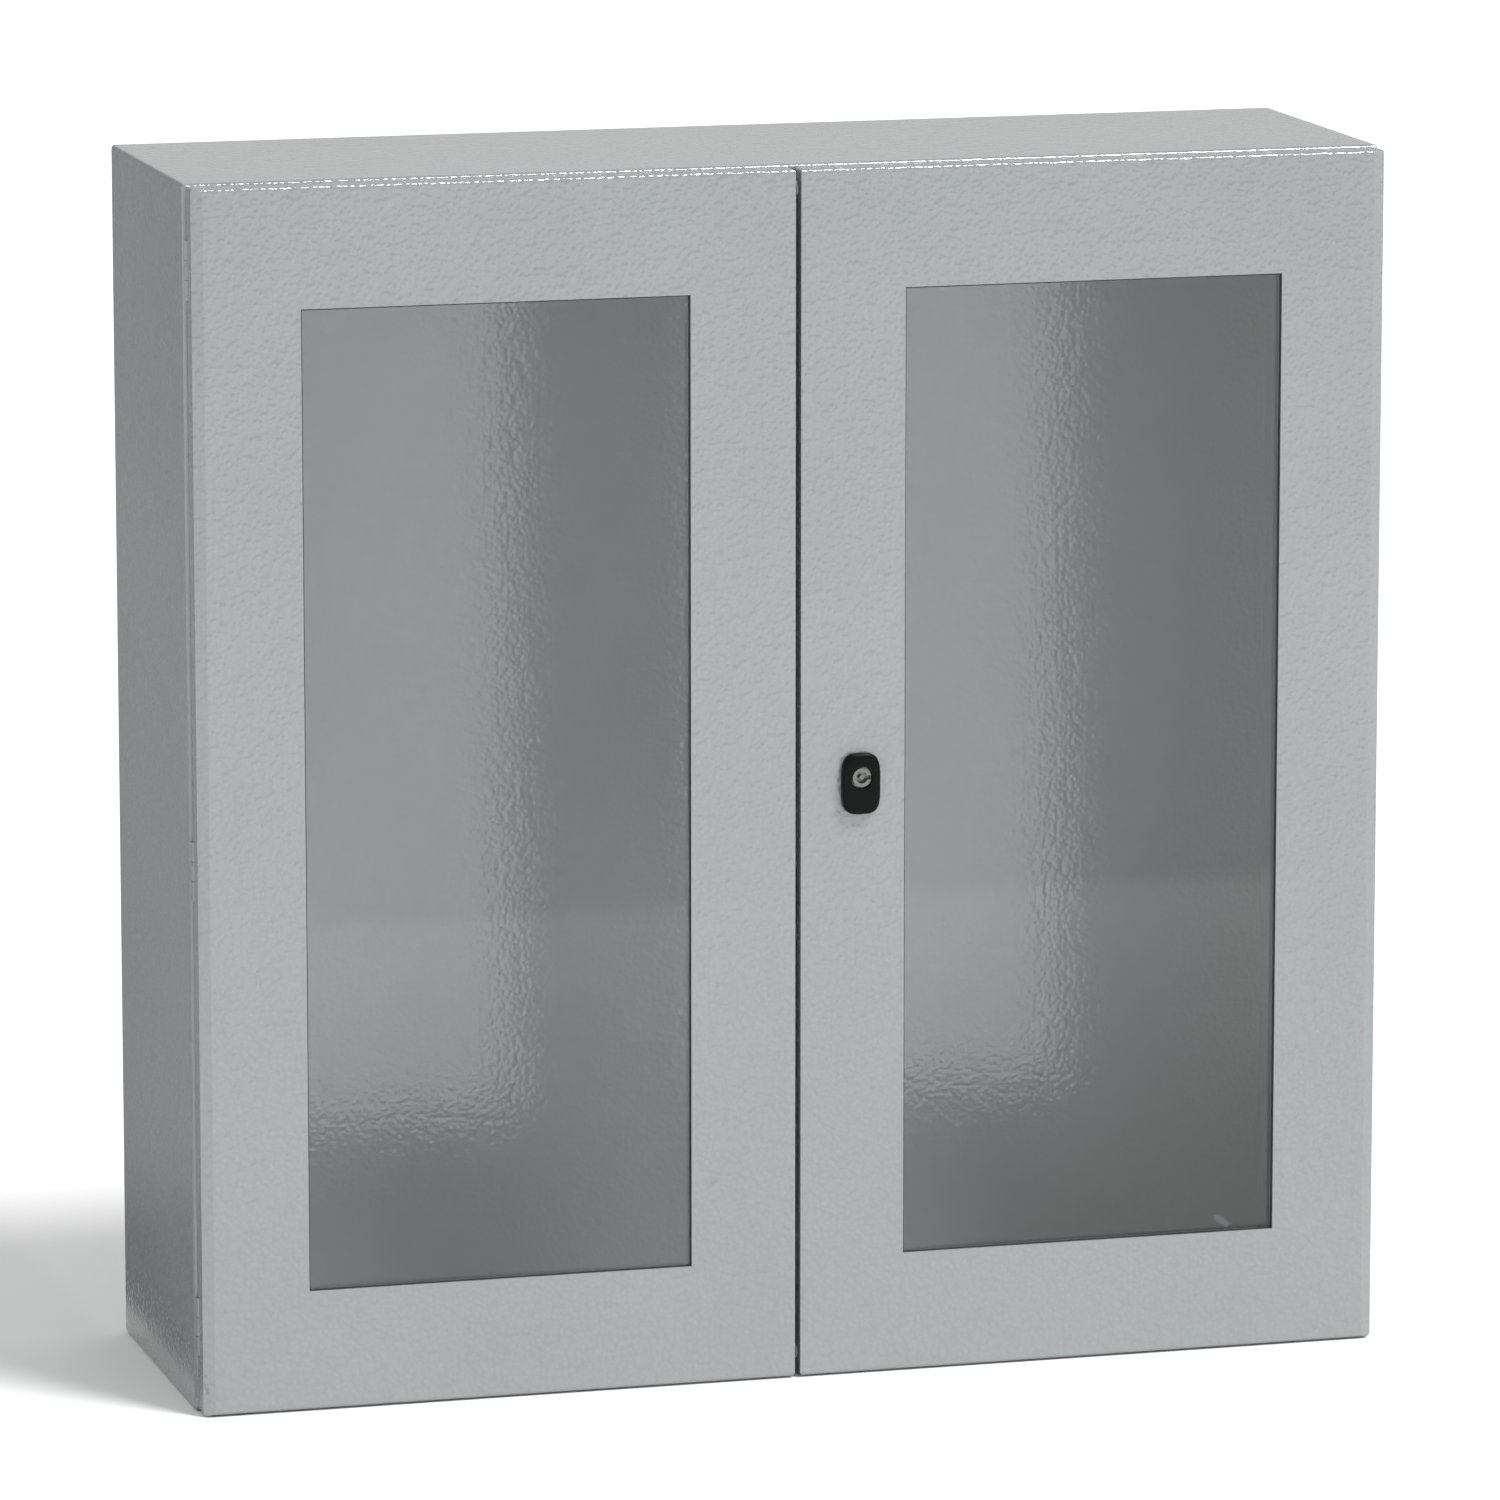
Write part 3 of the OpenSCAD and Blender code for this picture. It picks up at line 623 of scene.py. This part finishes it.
# The second grey is the grooves' colour, a painted shade in the grain's hollows.
door_paint = powder_coat("powder coat, textured light grey, doors", "#858a8a", "#808585", 4.9, 0.70)
dress(
    [
        "right_door_shell",
        "left_door_shell",
        "right_glass_frame",
        "left_glass_frame",
        "right_hinge_door_leaves",
        "left_hinge_door_leaves",
    ],
    door_paint,
)

# ---- Panes and glazing seals ----
# Toughened safety glass 4 mm thick, bedded on a rubber seal behind the sheet.
# Float glass is smooth and nearly colourless, with a slight waviness from toughening.


# Toughened float glass: clear, with a faint mirror of the room that grows at a slant.
def safety_glass():
    made, tree, place = start_material("toughened float glass, clear")
    waves = add_node(
        tree,
        "ShaderNodeTexNoise",
        inputs={"Scale": per_metre(160), "Detail": 1.0},
        links={"Vector": place},
    )
    bump = add_node(
        tree,
        "ShaderNodeBump",
        inputs={"Strength": 0.2, "Distance": 0.0002},
        links={"Height": waves.outputs["Fac"]},
    )
    dust = add_node(
        tree,
        "ShaderNodeTexNoise",
        inputs={"Scale": per_metre(60), "Detail": 6.0, "Roughness": 0.7},
        links={"Vector": place},
    )
    tint = add_node(
        tree,
        "ShaderNodeMix",
        data_type="RGBA",
        inputs={6: linear("#fdfefe"), 7: linear("#fbfcfc")},
        links={0: dust.outputs["Fac"]},
    )
    gloss = add_node(
        tree,
        "ShaderNodeMapRange",
        inputs={"To Min": 0.005, "To Max": 0.03},
        links={"Value": dust.outputs["Fac"]},
    )
    # Each face mirrors 4 % head on and more at a slant, the same from inside the pane.
    slant = add_node(
        tree, "ShaderNodeLayerWeight", inputs={"Blend": 0.5}, links={"Normal": bump.outputs[0]}
    )
    steep = add_node(
        tree,
        "ShaderNodeMath",
        operation="POWER",
        inputs={1: 5.0},
        links={0: slant.outputs["Facing"]},
    )
    mirror_share = add_node(
        tree,
        "ShaderNodeMapRange",
        inputs={"To Min": 0.04, "To Max": 1.0},
        links={"Value": steep.outputs[0]},
    )
    clear = add_node(tree, "ShaderNodeBsdfTransparent", links={"Color": tint.outputs[2]})
    mirror = add_node(
        tree,
        "ShaderNodeBsdfGlossy",
        inputs={"Color": linear("#ffffff")},
        links={"Roughness": gloss.outputs[0], "Normal": bump.outputs[0]},
    )
    pane = add_node(
        tree,
        "ShaderNodeMixShader",
        links={0: mirror_share.outputs[0], 1: clear.outputs[0], 2: mirror.outputs[0]},
    )
    finish_with(tree, pane)
    return made


dress(["right_glass", "left_glass"], safety_glass())
dress(["right_glazing_seal", "left_glazing_seal"], rubber)

# ---- Studs and nuts of the glass frames ----
# Weld studs M4 on the door sheet with thin hexagon nuts, twelve on each door.
# They clamp the stepped frame, which presses the pane on its seal.

frame_stud_r = 0.002
frame_nut_r = 0.004
m4_pitch = 0.0007
for door_side in ("left", "right"):
    # Each stud's centre is the middle of its own CAD vertices, first gathered in 20 mm cells.
    stud_points = {}
    for vertex in cad_node[door_side + "_frame_studs"].data.vertices:
        spot = (round(vertex.co.x / 0.02), round(vertex.co.z / 0.02))
        stud_points.setdefault(spot, []).append(vertex.co.copy())
    row_low, row_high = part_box(door_side + "_frame_studs")
    nut_row_low, nut_row_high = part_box(door_side + "_frame_nuts")
    merged = []
    for points in stud_points.values():
        middle = sum(points, Vector()) / len(points)
        near = [m for m in merged if (m[0] - middle).xz.length < 0.01]
        if near:
            near[0][1].extend(points)
            near[0][0] = sum(near[0][1], Vector()) / len(near[0][1])
        else:
            merged.append([middle, points])
    frame_studs = bmesh.new()
    frame_nuts = bmesh.new()
    for middle, _ in merged:
        threaded_rod(
            frame_studs,
            (middle.x, row_low.y, middle.z),
            (0, 1, 0),
            frame_stud_r,
            row_high.y - row_low.y,
            m4_pitch,
            steps=16,
        )
        hex_nut(
            frame_nuts,
            (middle.x, nut_row_low.y, middle.z),
            (0, 1, 0),
            frame_nut_r,
            nut_row_high.y - nut_row_low.y,
            frame_stud_r,
        )
    finished_piece(
        frame_studs,
        door_side + "_frame_m4_studs",
        door_side + "_door",
        "zinc_plated_steel",
        zinc,
        door_side + "_frame_studs",
    )
    finished_piece(
        frame_nuts,
        door_side + "_frame_hex_nuts",
        door_side + "_door",
        "zinc_plated_steel",
        zinc,
        door_side + "_frame_nuts",
    )

# ---- Door gaskets ----
# Polyurethane foam, poured as a bead around each door's inside and left to rise.
# It sets with a domed, slightly lumpy skin and no joint.


# Poured foam: charcoal, matt, with open pores in a lumpy skin; the pores are painted darker, as
# painted shade.
def foamed_polyurethane():
    made, tree, place = start_material("polyurethane foam, poured black bead")
    lumps = add_node(
        tree,
        "ShaderNodeTexNoise",
        inputs={"Scale": per_metre(9), "Detail": 2.0},
        links={"Vector": place},
    )
    pores = add_node(
        tree,
        "ShaderNodeTexVoronoi",
        inputs={"Scale": per_metre(0.9)},
        links={"Vector": place},
    )
    height = add_node(
        tree,
        "ShaderNodeMath",
        operation="MULTIPLY_ADD",
        inputs={1: 0.25},
        links={0: pores.outputs["Distance"], 2: lumps.outputs["Fac"]},
    )
    bump = add_node(
        tree,
        "ShaderNodeBump",
        inputs={"Strength": 0.8, "Distance": 0.0004},
        links={"Height": height.outputs[0]},
    )
    # Darker at each pore's middle, where the bump sinks: painted shade in the pores.
    colour = add_node(
        tree,
        "ShaderNodeMix",
        data_type="RGBA",
        inputs={6: linear("#232426"), 7: linear("#3a3c3e")},
        links={0: pores.outputs["Distance"]},
    )
    gloss = add_node(
        tree,
        "ShaderNodeMapRange",
        inputs={"To Min": 0.7, "To Max": 0.95},
        links={"Value": lumps.outputs["Fac"]},
    )
    foam = add_node(
        tree,
        "ShaderNodeBsdfPrincipled",
        inputs={"IOR": 1.45},
        links={
            "Base Color": colour.outputs[2],
            "Roughness": gloss.outputs[0],
            "Normal": bump.outputs[0],
        },
    )
    finish_with(tree, foam)
    return made


def rounded_loop(x0, x1, z0, z1, corner_r, corner_steps=8):
    """Points and outward directions around a rectangle with round corners."""
    loop = []
    corners = [(x1, z1, 0), (x0, z1, 90), (x0, z0, 180), (x1, z0, 270)]
    for x, z, start in corners:
        centre_x = x - math.copysign(corner_r, x - (x0 + x1) / 2)
        centre_z = z - math.copysign(corner_r, z - (z0 + z1) / 2)
        for k in range(corner_steps + 1):
            angle = math.radians(start + 90 * k / corner_steps)
            out = Vector((math.cos(angle), 0, math.sin(angle)))
            loop.append((Vector((centre_x, 0, centre_z)) + out * corner_r, out))
    return loop


foam = foamed_polyurethane()
bead_half = 0.0055
bead_corner_r = 0.0035
inward_share = bead_corner_r / bead_half
for door_side in ("left", "right"):
    bead_low, bead_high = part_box(door_side + "_door_gasket")
    route = rounded_loop(
        bead_low.x + bead_half,
        bead_high.x - bead_half,
        bead_low.z + bead_half,
        bead_high.z - bead_half,
        bead_corner_r,
    )
    tall = bead_high.y - bead_low.y
    section = [(bead_half, 0)]
    section += [
        (bead_half * math.cos(math.radians(a)), tall * (0.45 + 0.55 * math.sin(math.radians(a))))
        for a in range(0, 181, 15)
    ]
    section += [(-bead_half, 0)]
    bead = bmesh.new()
    rings = []
    for point, out in route:
        ring = []
        for across, up in section:
            reach = across if across > 0 else across * inward_share
            ring.append(bead.verts.new(point + out * reach + Vector((0, bead_low.y + up, 0))))
        rings.append(ring)
    for first, second in zip(rings, rings[1:] + rings[:1]):
        bridge(bead, first, second)
    finished_piece(
        bead,
        door_side + "_foam_bead",
        door_side + "_door",
        "pu_foam",
        foam,
        door_side + "_door_gasket",
        crease=60,
    )

# ---- Earth studs of the doors ----
# The same M6 brass stud, washer and nut as on the body, low on each door's hinge side.
# A cable links them to the body in service.

for door_side in ("left", "right"):
    earth_point(door_side, door_side + "_door", (0, 1, 0))

# ---- Locking rods, guides, cam and latch ----
# Flat 12 x 3 mm steel rods, zinc plated, slide in angle guides on each door.
# The cam and the latch disc are punched from sheet, with riveted drive pins.

dress(
    [
        "right_rod_guides",
        "left_rod_guides",
        "right_upper_rod",
        "right_lower_rod",
        "left_upper_rod",
        "left_lower_rod",
        "lock_cam",
        "latch_bracket",
        "latch_pivot",
        "latch_disc",
        "cam_screw",
    ],
    plate_zinc,
)

# ---- Lock: nut, sleeve, insert and escutcheon ----
# A quarter-turn cam lock. Its escutcheon is moulded glass-filled nylon with a crowned face.
# The insert is a zinc die casting, nickel plated, with a round key recess and its pin.


# Nickel plate over a zinc casting: a warm grey satin metal with fine pits and soft glints; the pits
# are painted darker, as painted shade.
def plated_die_casting():
    made, tree, place = start_material("zinc die casting, satin nickel plate")
    pits = add_node(
        tree,
        "ShaderNodeTexNoise",
        inputs={"Scale": per_metre(0.7), "Detail": 4.0, "Roughness": 0.6},
        links={"Vector": place},
    )
    # The colour darkens where the pit bump sinks: painted shade in the pits.
    colour = add_node(
        tree,
        "ShaderNodeMix",
        data_type="RGBA",
        inputs={6: linear("#565756"), 7: linear("#9c9d9b")},
        links={0: pits.outputs["Fac"]},
    )
    gloss = add_node(
        tree,
        "ShaderNodeMapRange",
        inputs={"From Min": 0.3, "From Max": 0.7, "To Min": 0.24, "To Max": 0.48},
        links={"Value": pits.outputs["Fac"]},
    )
    bump = add_node(
        tree,
        "ShaderNodeBump",
        inputs={"Strength": 0.8, "Distance": 0.0001},
        links={"Height": pits.outputs["Fac"]},
    )
    metal = add_node(
        tree,
        "ShaderNodeBsdfPrincipled",
        inputs={"Metallic": 1.0},
        links={
            "Base Color": colour.outputs[2],
            "Roughness": gloss.outputs[0],
            "Normal": bump.outputs[0],
        },
    )
    finish_with(tree, metal)
    return made


# Glass-filled polyamide, moulded in an etched tool: deep black with a faint flow of fibres.
# The etching takes most of the mirror off its face, so its specular level is low.
def moulded_polyamide():
    made, tree, place = start_material("polyamide with glass fibre, moulded black")
    fibres = add_node(
        tree,
        "ShaderNodeTexNoise",
        inputs={"Scale": per_metre(0.6), "Detail": 3.0, "Distortion": 0.8},
        links={"Vector": place},
    )
    flow = add_node(
        tree,
        "ShaderNodeTexNoise",
        inputs={"Scale": per_metre(12), "Detail": 2.0},
        links={"Vector": place},
    )
    colour = add_node(
        tree,
        "ShaderNodeMix",
        data_type="RGBA",
        inputs={6: linear("#050506"), 7: linear("#0b0c0c")},
        links={0: flow.outputs["Fac"]},
    )
    gloss = add_node(
        tree,
        "ShaderNodeMapRange",
        inputs={"From Min": 0.3, "From Max": 0.7, "To Min": 0.3, "To Max": 0.42},
        links={"Value": fibres.outputs["Fac"]},
    )
    bump = add_node(
        tree,
        "ShaderNodeBump",
        inputs={"Strength": 0.5, "Distance": 0.00002},
        links={"Height": fibres.outputs["Fac"]},
    )
    plastic = add_node(
        tree,
        "ShaderNodeBsdfPrincipled",
        inputs={"IOR": 1.53, "Specular IOR Level": 0.1},
        links={
            "Base Color": colour.outputs[2],
            "Roughness": gloss.outputs[0],
            "Normal": bump.outputs[0],
        },
    )
    finish_with(tree, plastic)
    return made


def crowned_outline(x, z, half_w, half_h, squareness, steps=96):
    """A closed outline about x and z: an ellipse at squareness 2, more of a rectangle above."""
    outline = []
    for i in range(steps):
        angle = 2 * math.pi * i / steps
        cx, cz = math.cos(angle), math.sin(angle)
        out_x = math.copysign(half_w * abs(cx) ** (2 / squareness), cx)
        out_z = math.copysign(half_h * abs(cz) ** (2 / squareness), cz)
        outline.append((x + out_x, z + out_z))
    return outline


def sleeve_of(outlines):
    """A closed mesh through (outline, depth along Y) pairs, from the last back to the first."""
    mesh = bmesh.new()
    rings = [[mesh.verts.new((x, y, z)) for x, z in outline] for outline, y in outlines]
    for first, second in zip(rings, rings[1:] + rings[:1]):
        bridge(mesh, first, second)
    return mesh


casting = plated_die_casting()
black_nylon = moulded_polyamide()
dress(["lock_sleeve", "lock_barrel"], casting)
plate_low, plate_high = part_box("escutcheon")
barrel_low, barrel_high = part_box("lock_barrel")
lock_x = (barrel_low.x + barrel_high.x) / 2
lock_z = (barrel_low.z + barrel_high.z) / 2
bore_r = 0.009
plate_x = (plate_low.x + plate_high.x) / 2
plate_z = (plate_low.z + plate_high.z) / 2
half_w = (plate_high.x - plate_low.x) / 2
half_h = (plate_high.z - plate_low.z) / 2
plate_t = plate_high.y - plate_low.y
squareness = 3.7
crown = [
    (0.0, 0.0),
    (0.0, 0.66),
    (0.0002, 0.76),
    (0.0007, 0.86),
    (0.0014, 0.92),
    (0.0024, 0.965),
    (0.0034, 0.99),
]
bore_edge = [(0.0016, 1.0), (0.0005, 1.0), (0.0001, 0.97), (0.0, 0.9), (0.0, 0.0)]
plate_outlines = [
    (
        crowned_outline(plate_x, plate_z, half_w - set_in, half_h - set_in, squareness),
        plate_high.y - plate_t * share,
    )
    for set_in, share in crown
]
plate_outlines += [
    (
        crowned_outline(lock_x, lock_z, bore_r + reach, bore_r + reach, 2),
        plate_high.y - plate_t * share,
    )
    for reach, share in bore_edge
]
plate = sleeve_of(plate_outlines)
finished_piece(
    plate, "lock_escutcheon", "right_door", "black_plastic", black_nylon, "escutcheon", crease=50
)

seal_low, seal_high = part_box("escutcheon_seal")
seal_set_in = 0.0016
seal_bore_r = 0.0092
seal_rim = crowned_outline(
    plate_x, plate_z, half_w - seal_set_in, half_h - seal_set_in, squareness
)
seal_bore = crowned_outline(lock_x, lock_z, seal_bore_r, seal_bore_r, 2)
seal = sleeve_of(
    [
        (seal_rim, seal_low.y),
        (seal_rim, seal_high.y),
        (seal_bore, seal_high.y),
        (seal_bore, seal_low.y),
    ]
)
finished_piece(seal, "escutcheon_gasket", "right_door", "epdm_rubber", rubber, "escutcheon_seal")

lock_nut_low, lock_nut_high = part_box("lock_nut")
lock_nut_r = 0.0135
lock_nut_bore_r = 0.0089
lock_hex = bmesh.new()
hex_nut(
    lock_hex,
    (lock_x, lock_nut_low.y, lock_z),
    (0, 1, 0),
    lock_nut_r,
    lock_nut_high.y - lock_nut_low.y,
    lock_nut_bore_r,
)
finished_piece(lock_hex, "lock_hex_nut", "right_door", "zinc_plated_steel", zinc, "lock_nut")

# ---- Latch knob ----
# A small black nylon knob screwed to the second door's upper rod, to work it by hand.
# Moulded with a waist, a domed end and a softened rim.

knob_low, knob_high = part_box("latch_knob")
knob_r = (knob_high.x - knob_low.x) / 2
knob_l = knob_high.y - knob_low.y
knob = bmesh.new()
turned(
    knob,
    [
        (0, 0),
        (0.6 * knob_r, 0),
        (0.58 * knob_r, 0.12 * knob_l),
        (0.62 * knob_r, 0.28 * knob_l),
        (0.92 * knob_r, 0.42 * knob_l),
        (knob_r, 0.52 * knob_l),
        (knob_r, 0.78 * knob_l),
        (0.93 * knob_r, 0.9 * knob_l),
        (0.7 * knob_r, 0.97 * knob_l),
        (0.35 * knob_r, knob_l),
        (0, knob_l),
    ],
    ((knob_low.x + knob_high.x) / 2, knob_low.y, (knob_low.z + knob_high.z) / 2),
    (0, 1, 0),
)
finished_piece(knob, "latch_pull_knob", "left_upper_bar", "black_plastic", black_nylon, "latch_knob")

# ---- Meeting edge plugs ----
# Two white nylon push-in plugs close the drain holes in the right door's meeting flange.
# Each has a low domed head and a barbed stem.


# Natural polyamide, moulded: milky off-white, a little waxy, light glows into its edges.
def natural_polyamide():
    made, tree, place = start_material("polyamide, natural white moulding")
    cloud = add_node(
        tree,
        "ShaderNodeTexNoise",
        inputs={"Scale": per_metre(3), "Detail": 3.0},
        links={"Vector": place},
    )
    colour = add_node(
        tree,
        "ShaderNodeMix",
        data_type="RGBA",
        inputs={6: linear("#d6d6d0"), 7: linear("#e8e8e2")},
        links={0: cloud.outputs["Fac"]},
    )
    gloss = add_node(
        tree,
        "ShaderNodeMapRange",
        inputs={"To Min": 0.38, "To Max": 0.55},
        links={"Value": cloud.outputs["Fac"]},
    )
    bump = add_node(
        tree,
        "ShaderNodeBump",
        inputs={"Strength": 0.4, "Distance": 0.00003},
        links={"Height": cloud.outputs["Fac"]},
    )
    plastic = add_node(
        tree,
        "ShaderNodeBsdfPrincipled",
        inputs={"IOR": 1.53, "Subsurface Weight": 0.15, "Subsurface Scale": 0.002},
        links={
            "Base Color": colour.outputs[2],
            "Roughness": gloss.outputs[0],
            "Normal": bump.outputs[0],
        },
    )
    finish_with(tree, plastic)
    return made


plug_low, plug_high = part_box("meeting_edge_plugs")
plug_r = (plug_high.y - plug_low.y) / 2
plug_l = plug_high.x - plug_low.x
plugs = bmesh.new()
for plug_z in (plug_low.z + plug_r, plug_high.z - plug_r):
    turned(
        plugs,
        [
            (0, 0),
            (0.5 * plug_r, 0.00005),
            (0.85 * plug_r, 0.0003),
            (plug_r, 0.0008),
            (plug_r, 0.0012),
            (0.0040, 0.0012),
            (0.0040, 0.0027),
            (0.0046, 0.0030),
            (0.0042, plug_l),
            (0, plug_l),
        ],
        (plug_low.x, (plug_low.y + plug_high.y) / 2, plug_z),
        (1, 0, 0),
    )
finished_piece(
    plugs,
    "nylon_drain_plugs",
    "right_door",
    "white_nylon",
    natural_polyamide(),
    "meeting_edge_plugs",
)

# ---- Stage: floor, lights and camera ----
# A plain white floor, an even white surround, a far softbox high at the front right and a low one.
# The camera looks at the middle of the enclosure from its front left, a little above.


def studio_surface(name, size_mm, grey, light_grey, roughness):
    """A matt material for what stands around the part."""
    made, tree, place = start_material(name)
    tone = add_node(
        tree,
        "ShaderNodeTexNoise",
        inputs={"Scale": per_metre(size_mm)},
        links={"Vector": place},
    )
    colour = add_node(
        tree,
        "ShaderNodeMix",
        data_type="RGBA",
        inputs={6: linear(grey), 7: linear(light_grey)},
        links={0: tone.outputs["Fac"]},
    )
    surface = add_node(
        tree,
        "ShaderNodeBsdfPrincipled",
        inputs={"Roughness": roughness},
        links={"Base Color": colour.outputs[2]},
    )
    finish_with(tree, surface)
    return made


def studio_sheet(mesh, name, material):
    """Turns the mesh into an object of the studio."""
    data = bpy.data.meshes.new(name)
    mesh.to_mesh(data)
    mesh.free()
    data.materials.append(material)
    made = bpy.data.objects.new(name, data)
    bpy.context.scene.collection.objects.link(made)
    return made


floor_half = 60.0
floor_corners = [(-1, -1), (1, -1), (1, 1), (-1, 1)]
floor_mesh = bmesh.new()
floor_mesh.faces.new(
    [floor_mesh.verts.new((x * floor_half, y * floor_half, 0)) for x, y in floor_corners]
)
floor_white = studio_surface("matt white studio floor", 667, "#fbfbfb", "#fdfdfd", 0.9)
floor = studio_sheet(floor_mesh, "studio_floor", floor_white)

world = bpy.data.worlds.new("white_studio")
world.use_nodes = True
world.node_tree.nodes["Background"].inputs["Color"].default_value = (1, 1, 1, 1)
world.node_tree.nodes["Background"].inputs["Strength"].default_value = 0.66
bpy.context.scene.world = world
bpy.context.scene.view_settings.view_transform = "Standard"

key_data = bpy.data.lights.new("key_softbox", "SUN")
key_data.energy = 2.65
key_data.angle = math.radians(18)
key = bpy.data.objects.new("key_softbox", key_data)
key.rotation_euler = Vector((-0.28, 0.31, -0.62)).to_track_quat("-Z", "Y").to_euler()
bpy.context.scene.collection.objects.link(key)

# A low softbox stands in front and lights the foot of the doors and of the inside.
fill_data = bpy.data.lights.new("low_softbox", "AREA")
fill_data.shape = "RECTANGLE"
fill_data.size = 2.4
fill_data.size_y = 0.7
fill_data.energy = 8.2
fill = bpy.data.objects.new("low_softbox", fill_data)
fill.location = (0.7, -2.2, 0.42)
fill.rotation_euler = (math.radians(106), 0, 0)
fill.visible_camera = False
fill.visible_glossy = False
bpy.context.scene.collection.objects.link(fill)

# A dark felt lies and stands behind the left side and shows only in reflections, as a studio
# flag does, so that the side's paint mirrors grey and not the white floor.
felt_outline = [(-0.2, 0.004), (2.6, 0.004), (2.9, 0.3), (2.9, 2.2)]
felt_sides = (-3.4, -0.52)
card_mesh = bmesh.new()
felt_edges = [[card_mesh.verts.new((x, y, z)) for x in felt_sides] for y, z in felt_outline]
for (a, b), (c, d) in zip(felt_edges, felt_edges[1:]):
    card_mesh.faces.new([a, b, d, c])
felt = studio_surface("grey felt", 4, "#727373", "#7c7d7d", 0.95)
card = studio_sheet(card_mesh, "studio_flag", felt)
card.visible_camera = False
card.visible_diffuse = False
card.visible_shadow = False
card.visible_transmission = False

view_centre = Vector((0, 0, 0.4987))
view_azimuth = math.radians(15.52)
view_elevation = math.radians(10.47)
view_distance = 7.7036
camera_data = bpy.data.cameras.new("camera")
camera_data.sensor_width = 36
camera_data.lens = 223.57
camera = bpy.data.objects.new("camera", camera_data)
towards_camera = Vector(
    (
        -math.sin(view_azimuth) * math.cos(view_elevation),
        -math.cos(view_azimuth) * math.cos(view_elevation),
        math.sin(view_elevation),
    )
)
camera.location = view_centre + towards_camera * view_distance
camera.rotation_euler = (-towards_camera).to_track_quat("-Z", "Y").to_euler()
bpy.context.scene.collection.objects.link(camera)
bpy.context.scene.camera = camera

# ---- Final update of the view layer ----

bpy.context.view_layer.update()
